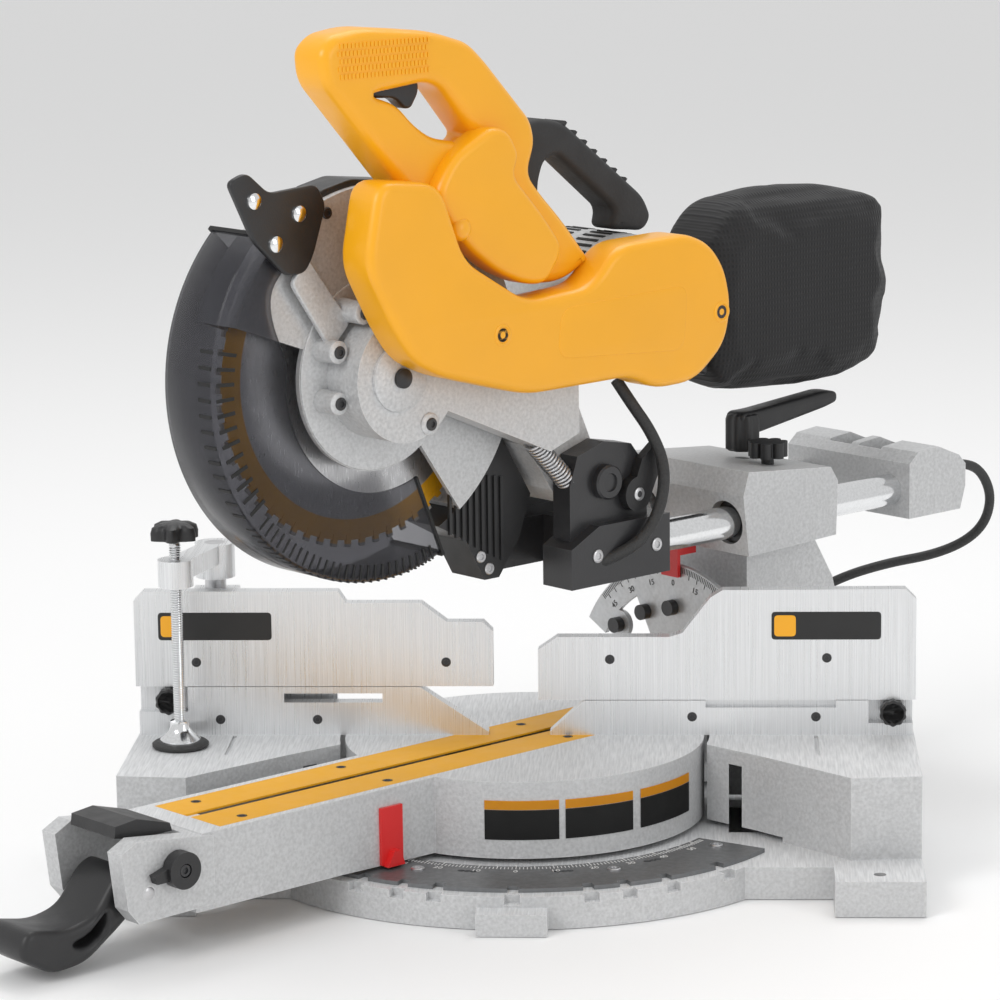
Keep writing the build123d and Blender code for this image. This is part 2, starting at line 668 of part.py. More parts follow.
def carry_handle():
    """Black carrying handle over the motor."""
    outer = [(20, 500), (22, 540), (6, 548), (-22, 544), (-104, 482), (-112, 466), (-104, 456), (-90, 458)]
    inner = [(2, 500), (-4, 516), (-16, 520), (-74, 474), (-70, 460)]
    body = slab([*outer, *reversed(inner)], -2, 26)
    body += slab([(22, 470), (22, 502), (0, 502), (-4, 470)], -2, 26)
    return body - gear_case_space() - rod_x(-70, 60, MOTOR_S, MOTOR_Z, 52.1)


def guard_link():
    """Black bracket that reaches from the gear case over the lower guard's rim."""
    body = slab([(184, 418), (205, 398), (262, 470), (284, 480), (300, 508), (288, 520), (262, 524), (246, 500)],
                25.5, 31)
    return body - disc_x(20, 40, 46)


def lower_guard():
    """Smoked guard around the blade's front and bottom."""
    body = side_sector(GUARD_R, -112, 46, -33, 24.5, BLADE_S, BLADE_Z)
    body -= side_sector(GUARD_R - 3, -130, 60, -30, 21.5, BLADE_S, BLADE_Z)
    body -= disc_x(10, 30, 82)
    body -= disc_x(-40, -20, 60)
    return body


def dust_chute():
    """Black ribbed dust chute behind the blade, with the deflector below it."""
    outline = [(40, 330), (28, 308), (6, 272), (18, 240), (38, 214), (52, 214), (70, 246), (100, 262)]
    duct = slab([(44, 326), (32, 308), (14, 274), (40, 262), (70, 270)], -15, 11)
    return slab(outline, -20, 16) - duct - disc_x(-30, 30, UPPER_R + GAP)


def dust_tube():
    """Bent black tube from the chute to the bag, on the motor's lower side."""
    tube = rod_s(-10, -162, -118, 374, 17)
    return tube - rod_s(-10, -170, -100, 374, 14) - rod_x(-70, 60, MOTOR_S, MOTOR_Z, 52)


def dust_bag():
    """Soft dust bag, a plain closed solid of its filled size."""
    outline = [(-162, 345), (-162, 404), (-174, 440), (-202, 466), (-218, 473), (-328, 472), (-379, 465),
               (-390, 384), (-375, 326), (-328, 312), (-184, 322)]
    return slab(outline, -44, 24)


# ---- cords ----
LOOP_POINTS = [(47, -52, 353), (54, -60, 336), (63, -72, 314), (68, -81, 289), (69, -78, 262), (69, -63, 240),
               (66, -42, 228), (58, -24, 222)]
CORD_POINTS = [(340.12, 314.66, 231), (352, 326.6, 229), (364, 338, 216), (370, 346, 196), (365, 351, 174),
               (349, 354, 158), (322, 354, 147), (286, 352, 141), (246, 346, 130), (212, 347, 110),
               (192, 354, 84), (181, 363, 55), (172, 369, 28), (162, 382, 10.5), (159, 404, 4.2)]


def corner_radii(points):
    """The largest even radius each corner's two runs allow, and its turn in degrees."""
    radii = []
    for before, here, after in zip(points, points[1:], points[2:]):
        run_in = Vector(*here) - Vector(*before)
        run_out = Vector(*after) - Vector(*here)
        turn = math.radians(run_in.get_angle(run_out))
        radii.append(0.45 * min(run_in.length, run_out.length) / math.tan(turn / 2))
    return radii


def cord_tube(label, points, radius):
    """Round cord on a route of rounded corners; its volume is set against section times length."""
    radii = corner_radii(points)
    path = FilletPolyline(*points, radius=radii)
    tube = sweep(Plane(path @ 0, z_dir=path % 0) * Circle(radius), path=path)
    expected = math.pi * radius ** 2 * path.length
    print(label, "radii", [round(r, 1) for r in radii], "length", round(path.length, 1))
    print(label, "volume over section times length", round(tube.volume / expected, 4))
    return tube


def cable_loop():
    """Flexible sleeve from the motor down to the carriage."""
    points = [(x, -s, z) for x, s, z in LOOP_POINTS]
    return cord_tube("cable loop", points, 4.5)


def coil_cylinder(radius, height):
    """Upright cylinder on the coil's centre, standing on the floor."""
    return Pos(COIL_X, COIL_Y, height / 2) * Cylinder(radius, height)


def power_cord():
    """Free stretch of the supply cord from the strain relief to the coil."""
    return cord_tube("power cord", CORD_POINTS, CORD_R) - coil_cylinder(COIL_R + COIL_BAND / 2, COIL_H)


def cord_coil():
    """Outer shape of the coiled rest of the cord."""
    return coil_cylinder(COIL_R + COIL_BAND / 2, COIL_H) - coil_cylinder(COIL_R - COIL_BAND / 2, COIL_H + 2)


def coil_tie():
    """Hook tie round the coil."""
    band = Pos(COIL_X - COIL_R, COIL_Y, COIL_H / 2 + 0.6) * Box(COIL_BAND + 4, 14, COIL_H + 1.2)
    return band - cord_coil()


def plug():
    """Two-pole plug lying on top of the coil, its tail where the last turn ends."""
    body = block(10, 46, -13, 13, 0, 16) + block(0, 10, -6, 6, 3, 13)
    for offset in (-6.35, 6.35):
        body += block(46, 63, offset - 0.8, offset + 0.8, 5, 11.3)
    return Pos(PLUG_X, PLUG_Y, COIL_H + 0.05) * Rot(0, 0, PLUG_TURN) * body


def strain_relief():
    """Ribbed rubber sleeve where the cord leaves the rear bracket."""
    body = rod_s(RELIEF_X, RELIEF_REAR_S, -418, RELIEF_Z, 5.5)
    for i in range(6):
        body += rod_s(RELIEF_X, -429 - 6 * i, -424.5 - 6 * i, RELIEF_Z, 10 - 0.6 * i)
    body += rod_s(RELIEF_X, -424, -418, RELIEF_Z, 10)
    return body


def build():
    """Make every piece and remember it under its node's name."""
    keep("base_casting", base_casting(), False)
    keep("mitre_scale_plate", scale_plate(), False)
    keep("left_fixed_fence", left_fixed_fence(), False)
    keep("right_fixed_fence", right_fixed_fence(), False)
    keep("left_sliding_fence", sliding_fence(-1, LEFT_OUTLINE, LEFT_SPLIT_Z), False)
    keep("right_sliding_fence", sliding_fence(1, RIGHT_OUTLINE, RIGHT_SPLIT_Z), False)
    keep("left_fence_knob", fence_knob(-266, 112, -8), False)
    keep("right_fence_knob", fence_knob(274, 103, -8), False)
    keep("clamp_post", clamp_post(), False)
    keep("clamp_arm", clamp_arm(), False)
    keep("clamp_screw", clamp_screw(), False)
    keep("clamp_foot", clamp_foot(), False)
    keep("turntable", turntable())
    keep("turntable_pivot", Pos(0, 0, 38) * Cylinder(10, 72), False)
    keep("kerf_plates", kerf_plates())
    keep("mitre_pointer", mitre_pointer())
    keep("mitre_lock_lever", lock_lever())
    keep("lock_lever_pin", lever_pin())
    keep("detent_button", detent_button())
    keep("detent_override_dial", override_dial())
    keep("bevel_housing", bevel_housing())
    keep("rail_bushes", rail_bushes())
    keep("bevel_shaft", bevel_shaft())
    keep("bevel_scale", bevel_scale())
    keep("bevel_pointer", bevel_pointer())
    keep("bevel_stop_screws", bevel_stops())
    keep("bevel_lock_lever", bevel_lever())
    keep("slide_lock_knob", slide_knob())
    keep("guide_rails", [rail(1), rail(-1)])
    keep("carriage", carriage())
    keep("rear_bracket", rear_bracket())
    keep("chop_pivot_shaft", pivot_shaft())
    keep("return_spring", return_spring())
    keep("grooving_stop", depth_stop())
    keep("strain_relief", strain_relief())
    keep("power_cord", power_cord(), False)
    keep("cord_coil", cord_coil(), False)
    keep("cord_tie", coil_tie(), False)
    keep("cord_plug", plug(), False)
    keep("upper_guard", upper_guard())
    keep("gear_case", gear_case())
    keep("blade", blade())
    keep("blade_spindle", spindle())
    keep("blade_clamp", blade_clamp())
    keep("idler_shaft", idler())
    keep("motor_armature", armature())
    keep("drive_belt", belt())
    keep("motor_housing", motor_housing())
    keep("motor_end_cap", motor_cap())
    keep("belt_cover", belt_cover())
    keep("handle_right_half", handle_half(1))
    keep("handle_left_half", handle_half(-1))
    keep("trigger", trigger())
    keep("carry_handle", carry_handle())
    keep("lower_guard", lower_guard())
    keep("guard_link", guard_link())
    keep("dust_chute", dust_chute())
    keep("dust_tube", dust_tube())
    keep("dust_bag", dust_bag())
    keep("cable_loop", cable_loop())


build()
for name, shape in PARTS.items():
    export_step(shape, f"parts/{name}.step")
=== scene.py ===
import math

import bmesh
import bpy
from mathutils import Matrix, Vector


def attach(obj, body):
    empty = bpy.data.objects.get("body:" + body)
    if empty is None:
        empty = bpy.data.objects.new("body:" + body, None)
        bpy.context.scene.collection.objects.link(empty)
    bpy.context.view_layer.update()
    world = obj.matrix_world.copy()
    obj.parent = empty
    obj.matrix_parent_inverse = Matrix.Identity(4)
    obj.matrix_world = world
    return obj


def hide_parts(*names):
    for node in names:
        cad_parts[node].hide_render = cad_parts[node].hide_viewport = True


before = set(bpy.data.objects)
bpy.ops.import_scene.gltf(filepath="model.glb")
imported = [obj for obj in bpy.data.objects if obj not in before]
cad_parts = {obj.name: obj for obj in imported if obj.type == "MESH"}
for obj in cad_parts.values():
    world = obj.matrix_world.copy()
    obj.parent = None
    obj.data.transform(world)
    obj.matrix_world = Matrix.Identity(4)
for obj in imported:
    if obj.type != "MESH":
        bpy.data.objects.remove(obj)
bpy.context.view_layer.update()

# Sliding compound mitre saw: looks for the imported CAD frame. Helper arguments are millimetres in the
# saw's own directions (right, forward, up) at a square cut; the rest pose swings them 45 degrees left.

MM = 0.001
COS = math.cos(math.radians(45))


# ---- camera, light and floor ----
def build_camera():
    """Long lens, slightly above the fence, looking down at the saw from the front."""
    data = bpy.data.cameras.new("camera")
    camera = bpy.data.objects.new("camera", data)
    bpy.context.collection.objects.link(camera)
    data.sensor_width = 36
    data.lens = 143.7
    data.shift_x = -0.017
    data.shift_y = 0.0194
    data.clip_end = 50
    turn = Matrix.Rotation(math.radians(2.79), 4, "Z") @ Matrix.Rotation(math.radians(78.62), 4, "X")
    turn = turn @ Matrix.Rotation(math.radians(-0.70), 4, "Z")
    camera.matrix_world = Matrix.Translation((0.137, -2.889, 0.8315)) @ turn
    bpy.context.scene.camera = camera


def area_light(name, place, target, size, power, tint=(1, 1, 1)):
    """Soft box aimed at a point."""
    data = bpy.data.lights.new(name, "AREA")
    data.shape = "RECTANGLE"
    data.size, data.size_y = size
    data.energy = power
    data.color = tint
    light = bpy.data.objects.new(name, data)
    bpy.context.collection.objects.link(light)
    light.location = place
    aim = Vector(target) - Vector(place)
    light.rotation_euler = aim.to_track_quat("-Z", "Y").to_euler()


def build_studio():
    """Pale floor, white surroundings and three soft boxes."""
    mesh = bpy.data.meshes.new("floor")
    mesh.from_pydata([(-9, -6, 0), (9, -6, 0), (9, 12, 0), (-9, 12, 0)], [], [(0, 1, 2, 3)])
    floor = bpy.data.objects.new("floor", mesh)
    bpy.context.collection.objects.link(floor)
    floor.location.z = -0.0006
    paint = bpy.data.materials.new("floor_paint")
    paint.use_nodes = True
    shader = paint.node_tree.nodes["Principled BSDF"]
    shader.inputs["Base Color"].default_value = (0.93, 0.93, 0.93, 1)
    shader.inputs["Roughness"].default_value = 0.6
    mesh.materials.append(paint)
    world = bpy.data.worlds.new("studio")
    bpy.context.scene.world = world
    world.use_nodes = True
    world.node_tree.nodes["Background"].inputs["Color"].default_value = (1, 1, 1, 1)
    world.node_tree.nodes["Background"].inputs["Strength"].default_value = 0.72
    area_light("key", (-1.8, -2.2, 2.2), (0, 0, 0.3), (1.4, 1.4), 34)
    area_light("fill", (2.4, -1.8, 1.2), (0, 0, 0.3), (1.2, 1.6), 12)
    area_light("top", (0.2, 0.9, 2.6), (0, 0, 0.3), (2.2, 1.4), 22)


build_camera()
build_studio()
bpy.context.scene.view_settings.view_transform = "Standard"

# ---- the supply cord, its coil and plug ----
CORD_ROUTE = [(340.12, 314.66, 231), (352, 326.6, 229), (364, 338, 216), (370, 346, 196), (365, 351, 174),
              (349, 354, 158), (322, 354, 147), (286, 352, 141), (246, 346, 130), (212, 347, 110),
              (192, 354, 84), (181, 363, 55), (172, 369, 28), (162, 382, 10.5)]
LOOP_ROUTE = [(47, -52, 353), (54, -60, 336), (63, -72, 314), (68, -81, 289), (69, -78, 262), (69, -63, 240),
              (66, -42, 228), (58, -24, 222)]
COIL_MIDDLE = (110, 430)
CORD_DIAMETER = 0.008
COIL_COLUMNS = ((54.6, 4.2, 29.4, 3.0), (45.8, 29.4, 4.2, 3.0), (37.0, 4.2, 29.4, 2.4))
COIL_START = -28.0
STEP = 30.0


def coil_points():
    """Turns stacked in three columns, each one wound next to the last."""
    out = []
    angle = COIL_START
    for radius, z_start, z_end, turns in COIL_COLUMNS:
        count = round(turns * 360 / STEP)
        for i in range(count + 1):
            here = math.radians(angle + i * STEP)
            z = z_start + (z_end - z_start) * i / count
            out.append((COIL_MIDDLE[0] + radius * math.cos(here), COIL_MIDDLE[1] + radius * math.sin(here),
                        z))
        angle += (count + 1) * STEP
    return out


def local(x, s, z):
    """A point of the swung part of the saw, in metres."""
    return Vector((COS * (x - s), -COS * (x + s), z)) * MM


def nurbs(name, points, radius, resolution=8):
    """Round flexible line through a route of control points, given in metres."""
    data = bpy.data.curves.new(name, "CURVE")
    data.dimensions = "3D"
    spline = data.splines.new("NURBS")
    spline.points.add(len(points) - 1)
    for point, co in zip(spline.points, points):
        point.co = (*co, 1)
    spline.order_u = 3
    spline.use_endpoint_u = True
    spline.resolution_u = resolution
    data.bevel_depth = radius
    data.bevel_resolution = 5
    data.use_fill_caps = True
    obj = bpy.data.objects.new(name, data)
    bpy.context.collection.objects.link(obj)
    return obj


# ---- materials ----
class Paint:
    """A procedural material under construction: one Principled shader and the nodes that feed it."""

    def __init__(self, name):
        self.material = bpy.data.materials.new(name)
        self.material.use_nodes = True
        self.nodes = self.material.node_tree.nodes
        self.links = self.material.node_tree.links
        self.shader = self.nodes["Principled BSDF"]
        self.place = self.nodes.new("ShaderNodeTexCoord").outputs["Object"]

    def node(self, kind, **inputs):
        made = self.nodes.new(kind)
        for key, value in inputs.items():
            self.feed(made.inputs[key.replace("_", " ")], value)
        return made

    def feed(self, socket, value):
        if isinstance(value, bpy.types.NodeSocket):
            self.links.new(value, socket)
        else:
            socket.default_value = value

    def noise(self, scale, stretch=(1, 1, 1), detail=3.0):
        mapping = self.node("ShaderNodeMapping", Vector=self.place, Scale=stretch)
        made = self.node("ShaderNodeTexNoise", Vector=mapping.outputs["Vector"], Scale=scale, Detail=detail)
        return made.outputs["Fac"]

    def span(self, fac, low, high, clip=(0.3, 0.7)):
        made = self.node("ShaderNodeMapRange", Value=fac)
        for key, value in zip(("From Min", "From Max", "To Min", "To Max"), (*clip, low, high)):
            made.inputs[key].default_value = value
        return made.outputs["Result"]

    def mix(self, fac, first, second, mode="MIX"):
        made = self.nodes.new("ShaderNodeMix")
        made.data_type = "RGBA"
        made.blend_type = mode
        self.feed(made.inputs[0], fac)
        self.feed(made.inputs[6], first)
        self.feed(made.inputs[7], second)
        return made.outputs[2]

    def math(self, what, first, second):
        made = self.nodes.new("ShaderNodeMath")
        made.operation = what
        self.feed(made.inputs[0], first)
        self.feed(made.inputs[1], second)
        return made.outputs[0]

    def bump(self, height, strength, distance):
        made = self.node("ShaderNodeBump", Height=height, Strength=strength, Distance=distance)
        self.links.new(made.outputs["Normal"], self.shader.inputs["Normal"])

    def edges(self, radius=0.0012):
        """Mask of worn edges: where the rounded normal leaves the face's own."""
        rounded = self.nodes.new("ShaderNodeBevel")
        rounded.samples = 4
        rounded.inputs["Radius"].default_value = radius
        flat = self.nodes.new("ShaderNodeNewGeometry").outputs["Normal"]
        dot = self.nodes.new("ShaderNodeVectorMath")
        dot.operation = "DOT_PRODUCT"
        self.links.new(rounded.outputs["Normal"], dot.inputs[0])
        self.links.new(flat, dot.inputs[1])
        rough = self.span(self.noise(160), 0.35, 1.0)
        mask = self.span(dot.outputs["Value"], 1.0, 0.0, (0.86, 0.985))
        return self.math("MULTIPLY", mask, rough)

    def top(self):
        """Mask of faces that look straight up."""
        normal = self.nodes.new("ShaderNodeNewGeometry").outputs["Normal"]
        split = self.node("ShaderNodeSeparateXYZ", Vector=normal)
        return self.span(split.outputs["Z"], 0, 1, (0.985, 0.995))

    def set(self, **inputs):
        for key, value in inputs.items():
            self.feed(self.shader.inputs[key.replace("_", " ")], value)


def rgb(*value):
    return (*value, 1.0)


def shade(colour, factor):
    return tuple(min(1.0, c * factor) for c in colour[:3]) + (1.0,)


def cast_metal(name, colour, rough=0.45, metallic=0.3, grain=420, milled_top=False):
    """Bead-blasted aluminium casting, with milled faces on top where the table is."""
    paint = Paint(name)
    speck = paint.noise(grain, detail=2)
    cloud = paint.noise(9)
    base = paint.mix(paint.span(speck, 0, 1), shade(colour, 0.84), shade(colour, 1.1))
    base = paint.mix(paint.span(cloud, 0, 0.35), base, shade(colour, 0.88))
    worn = paint.edges()
    base = paint.mix(paint.math("MULTIPLY", worn, 0.5), base, rgb(0.9, 0.9, 0.9))
    roughness = paint.span(speck, rough - 0.05, rough + 0.12)
    height = speck
    if milled_top:
        face = paint.top()
        lines = paint.noise(1.0, (700, 40, 1), 2)
        milled = paint.mix(paint.span(lines, 0, 1), rgb(0.62, 0.63, 0.64), rgb(0.8, 0.81, 0.82))
        base = paint.mix(face, base, milled)
        height = paint.mix(face, speck, lines)
    paint.set(Base_Color=base, Roughness=roughness, Metallic=metallic)
    paint.bump(height, 0.35, 0.0006)
    return paint.material


def milled_metal(name, colour, stretch, rough=0.3):
    """Face-milled or turned aluminium with fine parallel tool lines."""
    paint = Paint(name)
    lines = paint.noise(1.0, stretch, 2)
    wide = paint.noise(1.0, tuple(v / 9 for v in stretch), 2)
    base = paint.mix(paint.span(lines, 0, 1, (0.35, 0.65)), shade(colour, 0.86), shade(colour, 1.06))
    base = paint.mix(paint.span(wide, 0, 0.25), base, shade(colour, 0.85))
    worn = paint.edges(0.0008)
    base = paint.mix(worn, base, rgb(0.93, 0.93, 0.94))
    paint.set(Base_Color=base, Roughness=paint.span(lines, rough - 0.06, rough + 0.12), Metallic=0.75)
    paint.bump(lines, 0.3, 0.0004)
    return paint.material


def moulded(name, colour, rough=0.38, grain=900, depth=0.16, coat=0.12, worn_to=1.25):
    """Injection-moulded plastic with a fine texture, slight mottling and rubbed edges."""
    paint = Paint(name)
    fine = paint.noise(grain, detail=2)
    cloud = paint.noise(14)
    base = paint.mix(paint.span(cloud, 0, 0.5), colour, shade(colour, 0.9))
    base = paint.mix(paint.math("MULTIPLY", paint.edges(), 0.4), base, shade(colour, worn_to))
    paint.set(Base_Color=base, Roughness=paint.span(paint.noise(60), rough - 0.05, rough + 0.08))
    paint.set(Coat_Weight=coat, Coat_Roughness=0.25)
    paint.bump(fine, depth, 0.0004)
    return paint.material


def plain_metal(name, colour, rough, stretch=(60, 60, 60), metallic=1.0, depth=0.08):
    """Drawn, plated or brushed metal with light directional marks."""
    paint = Paint(name)
    marks = paint.noise(6.0, stretch, 3)
    base = paint.mix(paint.span(marks, 0, 0.5), colour, shade(colour, 0.78))
    paint.set(Base_Color=base, Roughness=paint.span(marks, rough, rough + 0.1), Metallic=metallic)
    paint.bump(marks, depth, 0.0003)
    return paint.material


def woven(name, colour, pitch=1400):
    """Coarse nylon weave of crossing threads."""
    paint = Paint(name)
    heights = []
    for axes in ((1, 1, 0), (0, 0, 1)):
        wave = paint.nodes.new("ShaderNodeTexWave")
        mapping = paint.node("ShaderNodeMapping", Vector=paint.place, Scale=axes)
        paint.links.new(mapping.outputs["Vector"], wave.inputs["Vector"])
        wave.bands_direction = "DIAGONAL"
        wave.inputs["Scale"].default_value = pitch / 10
        wave.inputs["Distortion"].default_value = 0.4
        heights.append(wave.outputs["Fac"])
    weave = paint.math("MULTIPLY", *heights)
    dust = paint.noise(26)
    base = paint.mix(weave, shade(colour, 0.55), shade(colour, 1.9))
    base = paint.mix(paint.span(dust, 0, 0.35), base, shade(colour, 1.6))
    paint.set(Base_Color=base, Roughness=paint.span(weave, 0.72, 0.9), Sheen_Weight=0.08)
    paint.bump(weave, 0.7, 0.0006)
    return paint.material


def braided(name, colour):
    """Rubber cord jacket with a faint spiral rib."""
    paint = Paint(name)
    rib = paint.noise(700, detail=1)
    base = paint.mix(paint.span(rib, 0, 1), shade(colour, 0.7), shade(colour, 1.9))
    paint.set(Base_Color=base, Roughness=paint.span(rib, 0.45, 0.7))
    paint.bump(rib, 0.5, 0.0005)
    return paint.material


def smoked(name):
    """Smoked clear plastic: light passes dimmed, and the sky reflects on it."""
    paint = Paint(name)
    out = paint.nodes["Material Output"]
    haze = paint.noise(22)
    clear = paint.nodes.new("ShaderNodeBsdfTransparent")
    paint.links.new(paint.mix(paint.span(haze, 0, 1), rgb(0.7, 0.7, 0.72), rgb(0.78, 0.78, 0.8)),
                    clear.inputs[0])
    body = paint.nodes.new("ShaderNodeBsdfPrincipled")
    body.inputs["Base Color"].default_value = rgb(0.02, 0.02, 0.024)
    paint.links.new(paint.span(haze, 0.12, 0.24), body.inputs["Roughness"])
    blend = paint.nodes.new("ShaderNodeMixShader")
    facing = paint.node("ShaderNodeLayerWeight", Blend=0.35)
    amount = paint.span(facing.outputs["Facing"], 0.16, 0.97, (0.02, 0.75))
    paint.links.new(amount, blend.inputs[0])
    paint.links.new(clear.outputs[0], blend.inputs[1])
    paint.links.new(body.outputs[0], blend.inputs[2])
    paint.links.new(blend.outputs[0], out.inputs["Surface"])
    paint.nodes.remove(paint.shader)
    return paint.material


CAST = cast_metal("cast_aluminium", rgb(0.58, 0.585, 0.59))
TABLE = cast_metal("cast_with_milled_top", rgb(0.58, 0.585, 0.59), milled_top=True)
MILLED = milled_metal("milled_fence", rgb(0.80, 0.81, 0.82), (1500, 10, 10))
SCALE = plain_metal("scale_steel", rgb(0.2, 0.205, 0.21), 0.38, (40, 40, 40), 0.6)
ARC = plain_metal("bevel_scale_metal", rgb(0.62, 0.63, 0.64), 0.35, (60, 60, 60), 0.6)
CHROME = plain_metal("chrome", rgb(0.86, 0.87, 0.88), 0.08, (90, 90, 90), 1.0, 0.02)
STEEL = plain_metal("brushed_steel", rgb(0.62, 0.62, 0.63), 0.28, (30, 30, 200))
BLADE = plain_metal("ground_blade", rgb(0.58, 0.59, 0.6), 0.32, (160, 160, 24), 0.9)
YELLOW = moulded("yellow_plastic", rgb(0.93, 0.42, 0.004), 0.36, 900, 0.14, 0.2, 1.12)
KERF = moulded("kerf_yellow", rgb(0.9, 0.44, 0.01), 0.5, 700, 0.2, 0.0, 1.15)
BLACK = moulded("black_plastic", rgb(0.018, 0.018, 0.019), 0.42, 800, 0.3, 0.05, 3.2)
GRIP = moulded("black_grip", rgb(0.022, 0.022, 0.023), 0.6, 420, 0.7, 0.0, 3.0)
BLACK_METAL = moulded("black_metal", rgb(0.022, 0.022, 0.024), 0.34, 500, 0.3, 0.2, 4.0)
RED = moulded("red_plastic", rgb(0.7, 0.02, 0.02), 0.32)
RUBBER = braided("cord_rubber", rgb(0.02, 0.02, 0.02))
FABRIC = woven("bag_fabric", rgb(0.008, 0.008, 0.009))
SMOKE = smoked("smoked_plastic")
INK = moulded("black_ink", rgb(0.012, 0.012, 0.012), 0.5)
PALE_INK = moulded("pale_ink", rgb(0.75, 0.75, 0.74), 0.5)
# near-black for the handle seam and the guard's ends; on the motor vents and guard slots it is painted shade
# standing in for the dark inside the openings
NEAR_BLACK_AND_SLOT_SHADE = moulded("near_black_and_painted_slot_shade", rgb(0.012, 0.012, 0.012), 0.7, 500, 0.3, 0.0, 1.5)

NODE_PAINT = {
    TABLE: ("base_casting", "turntable"),
    CAST: ("bevel_housing", "rear_bracket", "upper_guard", "gear_case", "motor_housing"),
    MILLED: ("left_fixed_fence", "right_fixed_fence", "left_sliding_fence", "right_sliding_fence",
             "clamp_arm"),
    SCALE: ("mitre_scale_plate",),
    ARC: ("bevel_scale",),
    CHROME: ("guide_rails", "clamp_foot"),
    STEEL: ("turntable_pivot", "lock_lever_pin", "bevel_shaft", "blade_spindle", "blade_clamp",
            "chop_pivot_shaft", "idler_shaft", "motor_armature", "return_spring", "clamp_post"),
    BLADE: ("blade",),
    YELLOW: ("belt_cover", "handle_right_half", "handle_left_half", "motor_end_cap"),
    KERF: ("kerf_plates",),
    BLACK: ("detent_button", "detent_override_dial", "mitre_lock_lever", "bevel_lock_lever",
            "slide_lock_knob", "grooving_stop", "carry_handle", "guard_link", "dust_chute", "dust_tube",
            "trigger", "left_fence_knob", "right_fence_knob", "cord_plug", "cord_tie", "clamp_screw"),
    BLACK_METAL: ("carriage", "bevel_stop_screws", "rail_bushes"),
    RED: ("mitre_pointer", "bevel_pointer"),
    SMOKE: ("lower_guard",),
    RUBBER: ("strain_relief", "drive_belt", "cable_loop", "power_cord", "cord_coil"),
    FABRIC: ("dust_bag",),
}
BEVELS = {"base_casting": 2.5, "turntable": 1.5, "bevel_housing": 7.0, "rear_bracket": 6.0,
          "upper_guard": 1.2, "gear_case": 2.0, "motor_housing": 2.0, "carriage": 3.0,
          "left_sliding_fence": 1.0, "right_sliding_fence": 1.0, "left_fixed_fence": 0.8,
          "right_fixed_fence": 0.8, "clamp_arm": 3.0, "mitre_pointer": 0.8, "detent_override_dial": 1.0,
          "grooving_stop": 1.2, "dust_chute": 1.0, "guard_link": 0.8, "slide_lock_knob": 1.5,
          "clamp_screw": 1.2, "clamp_foot": 0.6, "detent_button": 1.5, "motor_end_cap": 2.5,
          "cord_plug": 2.0, "trigger": 2.0, "cord_tie": 0.8}


def paint_nodes():
    """Give every CAD node its material, and rounded edges where it has them."""
    for paint, names in NODE_PAINT.items():
        for name in names:
            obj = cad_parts[name]
            obj.data.materials.clear()
            obj.data.materials.append(paint)
    for name, width in BEVELS.items():
        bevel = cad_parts[name].modifiers.new("rounding", "BEVEL")
        bevel.width = width * MM
        bevel.segments = 3
        bevel.limit_method = "ANGLE"
        bevel.angle_limit = math.radians(38)
        bevel.harden_normals = False


paint_nodes()


# ---- building pieces ----
def finish_mesh(name, mesh, paint, body, slot, nodes=(), sharp=40):
    """Smooth-shade a mesh, paint it and fix it to its body."""
    mesh.materials.clear()
    mesh.materials.append(paint)
    mesh.shade_smooth()
    mesh.set_sharp_from_angle(angle=math.radians(sharp))
    obj = bpy.data.objects.new(name, mesh)
    bpy.context.collection.objects.link(obj)
    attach(obj, body)
    if nodes:
        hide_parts(*nodes)
    return obj


def from_bmesh(name, bm, *rest, **more):
    bmesh.ops.recalc_face_normals(bm, faces=bm.faces)
    mesh = bpy.data.meshes.new(name)
    bm.to_mesh(mesh)
    bm.free()
    return finish_mesh(name, mesh, *rest, **more)


def rounded(points, radius, steps=5):
    """A closed outline with each corner replaced by a short curve."""
    out = []
    for i, here in enumerate(points):
        before, after = Vector(points[i - 1]), Vector(points[(i + 1) % len(points)])
        here = Vector(here)
        into, away = before - here, after - here
        reach = min(radius, 0.45 * into.length, 0.45 * away.length)
        a, b = here + into.normalized() * reach, here + away.normalized() * reach
        for k in range(steps + 1):
            t = k / steps
            out.append(a * (1 - t) ** 2 + here * 2 * t * (1 - t) + b * t * t)
    return out


SIDE_AXES = Matrix(((-COS, 0, COS, 0), (-COS, 0, -COS, 0), (0, 1, 0, 0), (0, 0, 0, 1)))
FRONT_AXES = Matrix(((1, 0, 0, 0), (0, 0, -1, 0), (0, 1, 0, 0), (0, 0, 0, 1)))


def slab_mesh(name, loops, low, high, edge, corner, axes):
    """Plate of one outline and its holes with rounded edges, laid on a plane given by its axes."""
    data = bpy.data.curves.new(name, "CURVE")
    data.dimensions = "2D"
    data.fill_mode = "BOTH"
    for loop in loops:
        points = rounded(loop, corner)
        spline = data.splines.new("POLY")
        spline.points.add(len(points) - 1)
        for point, co in zip(spline.points, points):
            point.co = (co.x * MM, co.y * MM, 0, 1)
        spline.use_cyclic_u = True
    data.bevel_depth = edge * MM
    data.bevel_resolution = 4
    data.offset = -edge * MM
    data.extrude = ((high - low) / 2 - edge) * MM
    holder = bpy.data.objects.new(name, data)
    mesh = bpy.data.meshes.new_from_object(holder)
    bpy.data.objects.remove(holder)
    bpy.data.curves.remove(data)
    mesh.transform(axes @ Matrix.Translation((0, 0, (low + high) / 2 * MM)))
    bm = bmesh.new()
    bm.from_mesh(mesh)
    bmesh.ops.remove_doubles(bm, verts=bm.verts, dist=0.00002)
    bmesh.ops.recalc_face_normals(bm, faces=bm.faces)
    bm.to_mesh(mesh)
    bm.free()
    return mesh


def plate(name, outline, x0, x1, paint, body, slot, edge=1.0, corner=4.0, holes=(), nodes=()):
    """Rounded plate of a (forward, up) outline between two places across the saw."""
    mesh = slab_mesh(name, [outline, *holes], x0, x1, edge, corner, SIDE_AXES)
    return finish_mesh(name, mesh, paint, body, slot, nodes)


